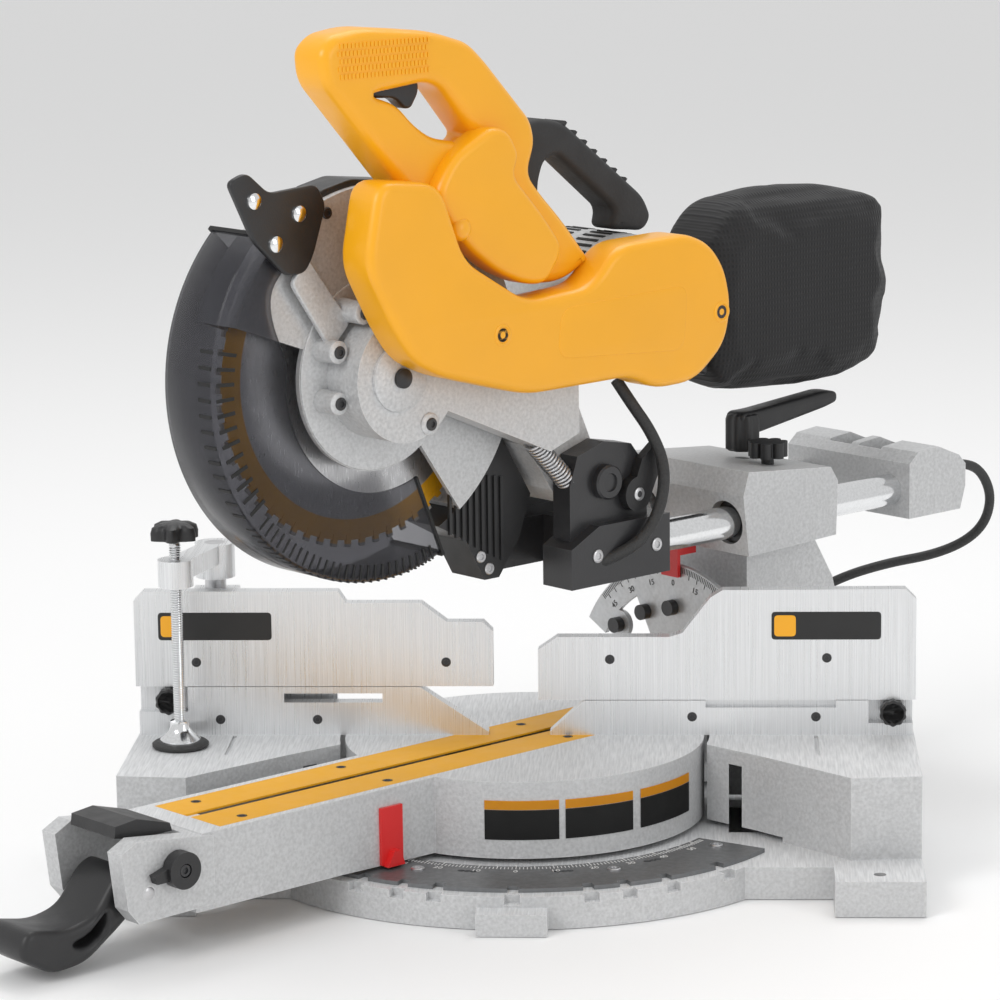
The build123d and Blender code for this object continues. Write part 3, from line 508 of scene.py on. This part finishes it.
def front_plate(name, outline, y0, y1, paint, body, slot, edge=0.6, corner=2.0):
    """Rounded plate of an (x, z) outline parallel to the fence faces, from y0 forward to y1."""
    mesh = slab_mesh(name, [outline], -y1, -y0, edge, corner, FRONT_AXES)
    return finish_mesh(name, mesh, paint, body, slot)


def lathe(bm, profile, origin, direction, segments=28, lobes=0, depth=0.0):
    """Add a turned shape: (radius, height) pairs round a direction, optionally fluted."""
    turn = Vector(direction).to_track_quat("Z", "Y").to_matrix().to_4x4()
    place = Matrix.Translation(origin) @ turn
    rings = []
    for radius, height in profile:
        ring = []
        for i in range(segments):
            a = 2 * math.pi * i / segments
            r = radius * (1 - depth * (0.5 + 0.5 * math.cos(lobes * a))) if lobes else radius
            ring.append(bm.verts.new(place @ (Vector((r * math.cos(a), r * math.sin(a), height)) * MM)))
        rings.append(ring)
    for low, high in zip(rings, rings[1:]):
        for i in range(segments):
            j = (i + 1) % segments
            bm.faces.new((low[i], low[j], high[j], high[i]))
    bm.faces.new(rings[0][::-1])
    bm.faces.new(rings[-1])


def turned(name, profile, origin, direction, paint, body, slot, segments=28, lobes=0, depth=0.0, nodes=()):
    bm = bmesh.new()
    lathe(bm, profile, origin, direction, segments, lobes, depth)
    return from_bmesh(name, bm, paint, body, slot, nodes=nodes)


RIGHT = Vector((COS, -COS, 0))
FORWARD = Vector((-COS, -COS, 0))
UP = Vector((0, 0, 1))


def head_profile(radius, height):
    """Round-edged screw head with a sunk socket."""
    return [(radius, -0.6), (radius, height * 0.6), (radius * 0.86, height), (radius * 0.5, height),
            (radius * 0.46, height * 0.3), (0.01, height * 0.3)]


def screws(name, spots, direction, radius, paint, body, slot, height=1.6):
    """Socket screws that share a direction, in one piece."""
    bm = bmesh.new()
    for spot in spots:
        lathe(bm, head_profile(radius, height), spot, direction, 24)
    return from_bmesh(name, bm, paint, body, slot)


def bar(bm, centre, size, turn):
    """Add a small block at a centre in metres; size in millimetres."""
    corners = [Vector((x, y, z)) for x in (-0.5, 0.5) for y in (-0.5, 0.5) for z in (-0.5, 0.5)]
    verts = [bm.verts.new(centre + turn @ Vector([c * s * MM for c, s in zip(v, size)])) for v in corners]
    for face in ((0, 1, 3, 2), (4, 6, 7, 5), (0, 4, 5, 1), (2, 3, 7, 6), (0, 2, 6, 4), (1, 5, 7, 3)):
        bm.faces.new([verts[i] for i in face])


def numbers(name, entries, paint, body, slot, thick=0.12):
    """Flat numerals: (text, place and turn as a matrix, height in millimetres)."""
    bm = bmesh.new()
    for text, matrix, size in entries:
        data = bpy.data.curves.new(name, "FONT")
        data.body = text
        data.size = size * MM
        data.align_x = "CENTER"
        data.align_y = "CENTER"
        data.extrude = thick / 2 * MM
        holder = bpy.data.objects.new(name, data)
        mesh = bpy.data.meshes.new_from_object(holder)
        mesh.transform(matrix)
        bm.from_mesh(mesh)
        bpy.data.objects.remove(holder)
        bpy.data.meshes.remove(mesh)
        bpy.data.curves.remove(data)
    return from_bmesh(name, bm, paint, body, slot)


# ---- cord, coil, plug and strain relief ----
def build_cords():
    """Supply cord with its coil, and the sleeve from the motor to the carriage."""
    spots = [Vector(p) * MM for p in CORD_ROUTE + coil_points()]
    tail = [(78.5, 406, 33.5), (82.6, 397, 38), (85.9, 389.2, 42)]
    cord = nurbs("supply_cord", spots + [Vector(p) * MM for p in tail], CORD_DIAMETER / 2)
    cord.data.materials.append(RUBBER)
    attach(cord, "slide_carriage")
    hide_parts("power_cord", "cord_coil")
    loop = nurbs("motor_cable", [local(*p) for p in LOOP_ROUTE], 0.0045)
    loop.data.materials.append(RUBBER)
    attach(loop, "slide_carriage")
    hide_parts("cable_loop")


def build_relief():
    """Tapered sleeve with deep ribs."""
    profile = [(9.8, 0), (9.8, 5)]
    for i in range(6):
        outer, start = 9.2 - 0.6 * i, 6.0 + 5.6 * i
        profile += [(outer - 2.0, start), (outer, start + 0.8), (outer, start + 3.4),
                    (outer - 2.0, start + 4.2)]
    profile += [(5.2, 43), (4.3, 44.8)]
    turned("cord_relief", profile, local(18, -418, 231), -FORWARD, BLACK, "slide_carriage", "rubber",
           nodes=("strain_relief",))


build_cords()
build_relief()


# ---- head ----
COVER = [(192, 418), (176, 396), (150, 383), (70, 361), (-30, 362), (-56, 350), (-96, 351), (-127, 375),
         (-134, 404), (-127, 432), (-112, 451), (-88, 461), (-18, 459), (8, 432), (70, 428), (128, 462),
         (150, 518), (206, 524), (218, 466)]
HANDLE = [(150, 500), (232, 590), (234, 612), (222, 622), (196, 626), (134, 620), (100, 610), (86, 598),
          (42, 552), (38, 536), (46, 514), (34, 500), (12, 478), (-10, 452), (-12, 446), (12, 434),
          (40, 434), (66, 446), (100, 470)]
HAND_HOLE = [(192, 580), (140, 585), (126, 580), (96, 545), (102, 540), (134, 546), (150, 556), (166, 572)]
TRIGGER = [(190, 577), (190, 592), (142, 594), (138, 579), (146, 567), (152, 567), (160, 575)]
CARRY = [(20, 500), (22, 540), (6, 548), (-22, 544), (-104, 482), (-112, 466), (-104, 456), (-90, 458),
         (-70, 460), (-74, 474), (-16, 520), (-4, 516), (2, 500), (0, 470), (22, 470)]
BLADE_MIDDLE = (155, 380)


def build_handles():
    """D handle, its domes, the trigger and the carrying handle."""
    plate("d_handle", HANDLE, 28, 64, YELLOW, "saw_head", "yellow", 8, 16, (HAND_HOLE,),
          ("handle_right_half", "handle_left_half"))
    root = [(146, 508), (128, 534), (92, 552), (76, 548), (66, 530), (72, 516), (44, 486), (24, 460),
            (42, 436), (62, 438), (88, 449), (114, 468), (130, 486)]
    plate("handle_root", root, 52, 77, YELLOW, "saw_head", "yellow", 6, 12)
    plate("trigger_shell", TRIGGER, 39, 53, BLACK, "trigger", "black", 3, 6, (), ("trigger",))
    plate("carry_grip", CARRY, -2, 26, GRIP, "saw_head", "black", 6, 12, (), ("carry_handle",))
    seam = [(234, 604), (226, 618), (196, 625.2), (134, 619.2), (100, 609), (86, 597), (44, 553), (86, 596),
            (100, 608), (134, 618), (196, 624), (225, 617)]
    plate("handle_seam", seam, 45.6, 46.4, NEAR_BLACK_AND_SLOT_SHADE, "saw_head", "black", 0.1, 3)
    bm = bmesh.new()
    for s, z in ((122, 483), (137, 476)):
        lathe(bm, [(9, -6), (8.4, 1.0), (6, 3.6), (3, 4.6), (0.1, 4.8)], local(75 if s < 130 else 72, s, z),
              RIGHT)
    from_bmesh("handle_domes", bm, YELLOW, "saw_head", "yellow")
    bm = bmesh.new()
    turn = Matrix.Rotation(math.radians(-45), 3, "Z")
    for i in range(7):
        t = i / 6
        spot = local(12, -26 - 60 * t, 541.5 - 46 * t)
        tilt = turn @ Matrix.Rotation(math.radians(-37), 3, "X")
        bar(bm, spot, (22, 2.4, 3.4), tilt)
    from_bmesh("grip_ridges", bm, BLACK, "saw_head", "black")


def build_grip():
    """Checked pad on the top of the D handle."""
    bm = bmesh.new()
    turn = Matrix.Rotation(math.radians(-45), 3, "Z")
    for i in range(24):
        for side in range(5):
            s = 218 - 3.4 * i
            z = 594 + 5.2 * side
            bar(bm, local(64.1, s + (side % 2) * 1.7, z), (1.0, 2.2, 3.4), turn)
    from_bmesh("grip_checks", bm, YELLOW, "saw_head", "yellow")


def build_cover():
    """Belt cover with its lip, screw wells and a blank raised panel."""
    plate("cover_shell", COVER, 54.5, 88, YELLOW, "saw_head", "yellow", 6.5, 15, (), ("belt_cover",))
    panel = [(44, 384), (-82, 376), (-86, 424), (40, 420)]
    plate("cover_panel", panel, 86.5, 88.4, YELLOW, "saw_head", "yellow", 0.8, 12)
    bm = bmesh.new()
    for s, z in ((96, 407), (-121, 400)):
        lathe(bm, [(8, -5), (8, 0.1), (7.2, 0.7), (6, 0.7), (5.2, -0.4), (5.2, -0.9), (0.1, -0.9)],
              local(88, s, z), RIGHT)
    from_bmesh("cover_wells", bm, YELLOW, "saw_head", "yellow")
    bm = bmesh.new()
    for s, z in ((96, 407), (-121, 400)):
        lathe(bm, [(4.9, -1), (4.9, 0), (2.4, 0), (2.2, -0.6), (0.1, -0.6)], local(88, s, z), RIGHT)
    from_bmesh("cover_screws", bm, BLACK_METAL, "saw_head", "steel")


def build_guard():
    """Clear lower guard as one smooth channel, with its slots and ribs near the rim as near-black bars of
    painted shade.
    """
    section = [(24.5, 82), (24.5, 143), (23.2, 147), (19.5, 149.6), (-28, 149.6), (-31.7, 147), (-33, 143),
               (-33, 60), (-30.6, 60), (-30.6, 142), (-28.5, 147.2), (19.0, 147.2), (22.1, 142), (22.1, 82)]
    bm = bmesh.new()
    rings = []
    count = 80
    for i in range(count + 1):
        degrees = -112 + 158 * i / count
        widen = min(1.0, max(0.0, (degrees - 8) / 30))
        inner = 85 + 33 * widen * widen * (3 - 2 * widen)
        a = math.radians(degrees)
        rings.append([bm.verts.new(around(x, inner if r == 82 else r, a)) for x, r in section])
    for first, second in zip(rings, rings[1:]):
        for k in range(len(section)):
            n = (k + 1) % len(section)
            bm.faces.new((first[k], first[n], second[n], second[k]))
    bm.faces.new(rings[0])
    bm.faces.new(rings[-1][::-1])
    from_bmesh("clear_guard", bm, SMOKE, "lower_guard", "smoke", nodes=("lower_guard",))
    bm = bmesh.new()
    # near-black bars on the wall and rim: painted shade standing in for the dark inside the slots
    for i in range(12):
        radial_bar(bm, 12 - 4.3 * i, 24.9, 139, (0.8, 2.6, 15))
    for i in range(26):
        radial_bar(bm, -40.5 - 2.7 * i, 24.9, 142, (0.8, 1.4, 11))
    for i in range(12):
        radial_bar(bm, 12 - 4.3 * i, 15, 149.5, (13, 2.6, 0.9))
    for i in range(26):
        radial_bar(bm, -40.5 - 2.7 * i, 17, 149.5, (9, 1.2, 0.8))
    from_bmesh("guard_slot_shade", bm, NEAR_BLACK_AND_SLOT_SHADE, "lower_guard", "smoke")
    bm = bmesh.new()
    for a in (46, -112):
        radial_bar(bm, a, 23.2, 134 if a > 0 else 117, (3.0, 2.0, 30 if a > 0 else 64))
        radial_bar(bm, a, -4.2, 148.6, (57, 3.2, 3.0))
    from_bmesh("guard_edges", bm, NEAR_BLACK_AND_SLOT_SHADE, "lower_guard", "smoke")


def around(x, r, a):
    """A point at an angle about the blade's axis; zero points forward."""
    return local(x, BLADE_MIDDLE[0] + r * math.cos(a), BLADE_MIDDLE[1] + r * math.sin(a))


def radial_bar(bm, angle, x, r, size):
    """Bar beside the blade; its long side is radial."""
    a = math.radians(angle)
    out = FORWARD * math.cos(a) + UP * math.sin(a)
    along = out.cross(RIGHT)
    turn = Matrix((RIGHT, along, out)).transposed()
    bar(bm, around(x, r, a), size, turn)


def blade_paint():
    """Ground plate with a painted ring behind the carbide tips."""
    paint = Paint("blade_finish")
    marks = paint.noise(6.0, (160, 160, 24))
    steel = paint.mix(paint.span(marks, 0, 0.6), rgb(0.6, 0.6, 0.61), rgb(0.42, 0.42, 0.43))
    middle = local(0, *BLADE_MIDDLE)
    gap = paint.nodes.new("ShaderNodeVectorMath")
    gap.operation = "DISTANCE"
    paint.links.new(paint.place, gap.inputs[0])
    gap.inputs[1].default_value = middle
    ring = paint.span(gap.outputs["Value"], 0, 1, (0.1065, 0.1075))
    tips = paint.span(gap.outputs["Value"], 0, 1, (0.1245, 0.125))
    painted = paint.mix(paint.span(marks, 0, 0.4), rgb(0.86, 0.42, 0.01), rgb(0.55, 0.27, 0.02))
    base = paint.mix(ring, steel, painted)
    base = paint.mix(tips, base, rgb(0.45, 0.43, 0.4))
    metal = paint.span(ring, 0.9, 0.25, (0, 1))
    paint.set(Base_Color=base, Metallic=metal, Roughness=paint.span(marks, 0.25, 0.42))
    paint.bump(marks, 0.06, 0.0003)
    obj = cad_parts["blade"]
    obj.data.materials.clear()
    obj.data.materials.append(paint.material)


def build_gear_side():
    """Bosses, screws, the lock button and the ribs of the cast upper guard and gear case."""
    bm = bmesh.new()
    for s, z, r, x0, x1 in ((205, 402, 8, 18, 40), (205, 366, 8, 18, 40), (186, 428, 8, 18, 46),
                            (163, 381, 24, 52, 57), (140, 420, 8, 30, 56), (136, 345, 8, 30, 56)):
        lathe(bm, [(r + 1, 0), (r, (x1 - x0) * 0.5), (r, x1 - x0 - 1), (r - 1.2, x1 - x0), (0.1, x1 - x0)],
              local(x0, s, z), RIGHT, 40)
    from_bmesh("gear_bosses", bm, CAST, "saw_head", "cast")
    spots = [local(40, 205, 402), local(40, 205, 366), local(46, 186, 428), local(56, 140, 420),
             local(56, 136, 345)]
    screws("gear_screws", spots, RIGHT, 4.6, BLACK_METAL, "saw_head", "steel")
    turned("lock_button", [(7, 0), (7, 3), (5.6, 4.2), (0.1, 4.4)], local(57, 163, 381), RIGHT, BLACK,
           "saw_head", "black")
    face = [(BLADE_MIDDLE[0] + 69.6 * math.cos(0.1309 * i), BLADE_MIDDLE[1] + 69.6 * math.sin(0.1309 * i))
            for i in range(48)]
    plate("guard_face", face, 18, 21.2, CAST, "saw_head", "cast", 0.8, 4)
    strip = [(214, 500), (196, 512), (170, 517.5), (128, 513), (128, 508), (170, 511), (192, 505), (210, 494)]
    plate("guard_strip", strip, -16, 14, BLACK, "saw_head", "black", 1.5, 4)
    leg = [(186, 420), (204, 402), (238, 452), (224, 470)]
    plate("guard_leg", leg, 26, 30.5, CAST, "saw_head", "cast", 1.5, 5)
    link = [(291, 526), (275, 532), (256, 516), (214, 519), (206, 504), (218, 470), (226, 458), (243, 458),
            (270, 484)]
    plate("guard_bracket", link, 25.5, 31, BLACK, "saw_head", "black", 1.8, 6, (), ("guard_link",))
    spots = [local(31, 231, 500), local(31, 252, 481), local(31, 270, 512)]
    bm = bmesh.new()
    for spot in spots:
        lathe(bm, [(6, 0), (5.6, 1.4), (3.4, 2.6), (0.1, 3)], spot, RIGHT)
    from_bmesh("link_rivets", bm, CHROME, "saw_head", "steel")
    bolts = [local(20, BLADE_MIDDLE[0] + 124 * math.cos(a), BLADE_MIDDLE[1] + 124 * math.sin(a))
             for a in (math.radians(v) for v in (58, 70, 84, 120))]
    screws("guard_screws", bolts, RIGHT, 4.2, BLACK_METAL, "saw_head", "steel")


def build_motor():
    """Black ring on the motor, and its vents as near-black bars of painted shade."""
    middle = local(-64, -75, 405)
    turned("motor_ring", [(51, 0), (52.6, 1), (52.6, 6), (51, 7), (46, 7)], middle, RIGHT, BLACK, "saw_head",
           "black", 64)
    bm = bmesh.new()
    # each vent is a near-black bar: painted shade in place of the dark inside of the slot
    for ring in (0, 1):
        for i in range(22):
            a = math.radians(20 + 8 * i)
            spot = local(-20 + 34 * ring, -75 + 52 * math.cos(a), 405 + 52 * math.sin(a))
            out = FORWARD * math.cos(a) + UP * math.sin(a)
            turn = Matrix((RIGHT, out.cross(RIGHT), out)).transposed()
            bar(bm, spot, (22, 2.6, 1.2), turn)
    from_bmesh("motor_vent_shade", bm, NEAR_BLACK_AND_SLOT_SHADE, "saw_head", "cast")


build_handles()
build_grip()
build_cover()
build_guard()
blade_paint()
build_gear_side()
build_motor()


# ---- carriage, rails and bevel group ----
def build_carriage():
    """Ribs of the dust chute, the lift spring, screws and the pivot cap."""
    bm = bmesh.new()
    turn = Matrix.Rotation(math.radians(-45), 3, "Z")
    for i in range(9):
        bar(bm, local(16.6, 36 + 6.2 * i, 268 + 2.2 * i - 10), (2.4, 2.2, 62 - 2 * i), turn)
    from_bmesh("chute_ribs", bm, BLACK, "saw_head", "black")
    screws("chute_screws", [local(16, 56, 232), local(16, 48, 222)], RIGHT, 4.5, STEEL, "saw_head", "steel")
    points = []
    for i in range(15 * 12 + 1):
        t = i / (15 * 12)
        a = 2 * math.pi * 15 * t
        centre = local(44, 30 - 34 * t, 318 - 34 * t)
        lean = (FORWARD + UP).normalized()
        side = lean.cross(RIGHT)
        points.append(centre + (RIGHT * math.cos(a) + side * math.sin(a)) * 0.007)
    spring = nurbs("lift_spring", points, 0.0011, 2)
    spring.data.materials.append(STEEL)
    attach(spring, "slide_carriage")
    screws("carriage_screws", [local(62, -18, 228), local(62, -78, 228), local(60, -62, 268)], RIGHT, 5,
           STEEL, "slide_carriage", "steel", 1.4)
    turned("pivot_cap", [(13, 0), (13, 5), (11.5, 6.4), (7, 6.4), (6.4, 4.6), (0.1, 4.6)],
           local(52, -35, 280), RIGHT, BLACK_METAL, "slide_carriage", "black_metal", 40)


def build_bevel():
    """Lever, marks and numbers of the tilt scale."""
    arm = [(-222, 302), (-240, 302), (-318, 308), (-330, 306), (-330, 298), (-318, 295), (-242, 284),
           (-222, 282)]
    plate("bevel_arm", arm, -10, 10, BLACK, "bevel_lever", "black", 4, 6, (), ("bevel_lock_lever",))
    turned("bevel_hub", [(11, 0), (14, 2), (14, 24), (12.5, 28), (8, 30), (0.1, 30)], local(0, -232, 271),
           UP, BLACK, "bevel_lever", "black", 48, 8, 0.12)
    bm = bmesh.new()
    entries = []
    for step in range(-48, 49):
        a = math.radians(90 + step)
        length = 8 if step % 5 == 0 else 4.5
        out = RIGHT * math.cos(a) + UP * math.sin(a)
        turn = Matrix((out, out.cross(FORWARD), FORWARD)).transposed()
        spot = local((106 - length / 2) * math.cos(a), -155.9, 85 + (106 - length / 2) * math.sin(a))
        bar(bm, spot, (length, 0.5, 0.3), turn)
        if step % 15 == 0:
            up = Matrix((out.cross(FORWARD), out, FORWARD)).transposed().to_4x4()
            spot = local(92 * math.cos(a), -155.8, 85 + 92 * math.sin(a))
            entries.append((str(abs(step)), Matrix.Translation(spot) @ up, 6.5))
    from_bmesh("tilt_ticks", bm, INK, "turntable", "dark_steel")
    numbers("tilt_numbers", entries, INK, "turntable", "dark_steel")


# ---- base, table and fences ----
def build_mitre_scale():
    """Degree marks and numbers on the detent plate, and its screws."""
    bm = bmesh.new()
    entries = []
    for step in range(-58, 59):
        a = math.radians(step)
        out = Vector((math.sin(a), -math.cos(a), 0))
        length = 9 if step % 10 == 0 else (7 if step % 5 == 0 else 4)
        turn = Matrix((out, UP.cross(out), UP)).transposed()
        spot = out * (157 - length / 2) * MM + Vector((0, 0, 0.02715))
        bar(bm, spot, (length, 0.55, 0.3), turn)
        if step % 10 == 0:
            up = Matrix((-UP.cross(-out), -out, UP)).transposed().to_4x4()
            entries.append((str(abs(step)), Matrix.Translation(out * 0.163 + Vector((0, 0, 0.0272))) @ up, 7))
    from_bmesh("mitre_ticks", bm, PALE_INK, "base", "dark_steel")
    numbers("mitre_numbers", entries, PALE_INK, "base", "dark_steel")
    spots = []
    for angle in (-56, -24, 24, 56):
        a = math.radians(angle)
        spots.append(Vector((172 * math.sin(a), -172 * math.cos(a), 27)) * MM)
    screws("scale_screws", spots, UP, 5.0, STEEL, "base", "steel")


def skirt_panel(name, start, stop, low, high, paint):
    """Blank curved panel on the table's skirt."""
    bm = bmesh.new()
    rows = []
    for i in range(13):
        a = math.radians(start + (stop - start) * i / 12)
        out = Vector((math.sin(a), -math.cos(a), 0)) * 0.13445
        rows.append([bm.verts.new(out + UP * z * MM) for z in (low, high)])
    for first, second in zip(rows, rows[1:]):
        bm.faces.new((first[0], second[0], second[1], first[1]))
    solid = bmesh.ops.solidify(bm, geom=bm.faces[:], thickness=0.0006)
    del solid
    from_bmesh(name, bm, paint, "turntable", "black")


def build_table():
    """Plate screws, skirt panels, dial screw and the lock lever's paddle."""
    spots = [local(side * 26, s, 84.2) for side in (1, -1) for s in (-20, 157, 290)]
    screws("kerf_screws", spots, UP, 4.4, BLACK_METAL, "turntable", "steel", 0.8)
    for i, (start, stop) in enumerate(((-10, 13), (15, 38), (41, 66))):
        skirt_panel(f"skirt_panel_{i}", start, stop, 42, 64, INK)
        skirt_panel(f"skirt_strip_{i}", start, stop, 64.3, 71, YELLOW)
    screws("dial_screw", [local(52.4, 362, 66)], RIGHT, 4.8, BLACK_METAL, "override_dial", "steel", 2.0)
    paddle = [(376, 52), (384, 68), (398, 62), (416, 38), (440, 33), (472, 40), (479, 22), (452, 5),
              (424, 7), (392, 28), (378, 40)]
    hole = [(404, 40), (420, 26), (436, 22), (424, 18), (408, 26)]
    plate("lever_paddle", paddle, -24, 24, BLACK, "lock_lever", "black", 5, 10, (hole,),
          ("mitre_lock_lever",))
    turned("pin_ends", [(4.6, 0), (4.6, 90.4), (3.6, 91), (0.1, 91)], local(-45.5, 386, 53), RIGHT, STEEL,
           "turntable", "steel")


def build_fences():
    """Hex screws in the fences and their blank plates."""
    back = Vector((0, -1, 0))
    upper = {"left_fence": ((-245, 141), (-58, 141)), "right_fence": ((64, 143), (225, 144)),
             "base": ((-228, 97), (-155, 97), (125, 99), (217, 99))}
    for body, spots in upper.items():
        screws(f"{body}_screws", [Vector((x, 0.2, z)) * MM for x, z in spots], back, 3.6, BLACK_METAL, body,
               "steel", 0.7)
    for name, x0, x1, body in (("left_plate", -273, -188, "left_fence"),
                               ("right_plate", 184, 265, "right_fence")):
        outline = [(x0, 158), (x1, 158), (x1, 179), (x0, 179)]
        front_plate(name, outline, -0.5, 0.3, INK, body, "black", 0.2, 3)
        mark = [(x0 + 2, 160.5), (x0 + 18, 160.5), (x0 + 18, 176.5), (x0 + 2, 176.5)]
        front_plate(name + "_mark", mark, -0.75, 0.0, YELLOW, body, "yellow", 0.15, 3)
    for name, x, z, body in (("left_knob_cap", -266, 112, "left_knob"),
                             ("right_knob_cap", 274, 103, "right_knob")):
        turned(name, [(9.5, 0), (10.2, 2), (10.2, 9), (8.6, 10.5), (0.1, 10.5)], Vector((x, 2.5, z)) * MM,
               back, BLACK, body, "black", 48, 10, 0.1)


def build_clamp():
    """Threaded rod, star knob, chromed cone and rubber pad."""
    x, y = -254 * MM, -34 * MM
    profile = [(4.0, 0)]
    for i in range(80):
        profile += [(3.7, 1.8 * i + 0.2), (4.5, 1.8 * i + 0.9), (4.5, 1.8 * i + 1.2)]
    profile += [(3.7, 146)]
    turned("clamp_thread", profile, Vector((x, y, 0.094)), UP, CHROME, "clamp_screw", "chrome", 24,
           nodes=("clamp_screw",))
    turned("star_knob", [(10, 0), (18.6, 1.4), (18.8, 7), (17.5, 11), (12, 13.6), (0.1, 14)],
           Vector((x, y, 0.241)), UP, BLACK, "clamp_screw", "black", 72, 6, 0.3)
    turned("clamp_cone", [(15, 0), (15, 2.2), (9, 8), (7.4, 11), (7, 16), (4.6, 17)], Vector((x, y, 0.089)),
           UP, CHROME, "clamp_screw", "chrome", 48, nodes=("clamp_foot",))
    turned("clamp_pad", [(20, 0), (21, 1), (21, 2.6), (19.6, 3.7), (0.1, 3.7)], Vector((x, y, 0.0853)), UP,
           RUBBER, "clamp_screw", "rubber", 56)


build_carriage()
build_bevel()
build_mitre_scale()
build_table()
build_fences()
build_clamp()


# ---- dust bag ----
BAG = [(-178, 352), (-178, 438), (-202, 461), (-218, 468), (-327, 467), (-374, 460), (-385, 386), (-371, 331),
       (-327, 316), (-188, 326)]


def build_bag():
    """Nylon bag: a rounded shell that a cloth simulation fills with air."""
    mesh = slab_mesh("dust_bag_cloth", [BAG], -40, 20, 9, 14, SIDE_AXES)
    obj = finish_mesh("dust_bag_cloth", mesh, FABRIC, "saw_head", "fabric", ("dust_bag",), 180)
    remesh = obj.modifiers.new("voxels", "REMESH")
    remesh.mode = "VOXEL"
    remesh.voxel_size = 0.0055
    remesh.use_smooth_shade = True
    apply_all(obj)
    inflate(obj)
    wrinkle(obj)
    smooth = obj.modifiers.new("smooth", "SUBSURF")
    smooth.levels = 1
    smooth.render_levels = 1
    collar = [(-160, 344), (-160, 404), (-182, 420), (-182, 336)]
    plate("bag_collar", collar, -34, 14, BLACK, "saw_head", "black", 4, 6)


def apply_all(obj):
    """Bake the modifiers into the mesh."""
    baked = bpy.data.meshes.new_from_object(obj.evaluated_get(bpy.context.evaluated_depsgraph_get()))
    obj.modifiers.clear()
    obj.data = baked


def inflate(obj):
    """Twenty frames of cloth under pressure, with each point's travel capped."""
    start = [v.co.copy() for v in obj.data.vertices]
    cloth = obj.modifiers.new("cloth", "CLOTH")
    cloth.settings.use_pressure = True
    cloth.settings.uniform_pressure_force = 4.0
    cloth.settings.effector_weights.gravity = 0.0
    cloth.point_cache.frame_start = 1
    cloth.point_cache.frame_end = 20
    for number in range(1, 21):
        bpy.context.scene.frame_set(number)
    apply_all(obj)
    bpy.context.scene.frame_set(1)
    for vertex, origin in zip(obj.data.vertices, start):
        moved = vertex.co - origin
        if moved.length > 0.005:
            vertex.co = origin + moved.normalized() * 0.005


def wrinkle(obj):
    """Sags and creases between the corners and the collar."""
    top = (local(-10, -165, 440), 34)
    for vertex in obj.data.vertices:
        gap = (vertex.co - top[0]).length / MM
        s = -(vertex.co.x + vertex.co.y) * COS / MM
        z = vertex.co.z / MM
        fold = math.sin(gap / 9.0 + 0.02 * z) * math.exp(-gap / 70)
        fold += 0.5 * math.sin((s * 0.6 + z) / 13.0) * math.exp(-abs(z - 335) / 30)
        fold += 0.35 * math.sin((z - s * 0.35) / 17.0)
        vertex.co += vertex.normal * fold * 0.0011


build_bag()
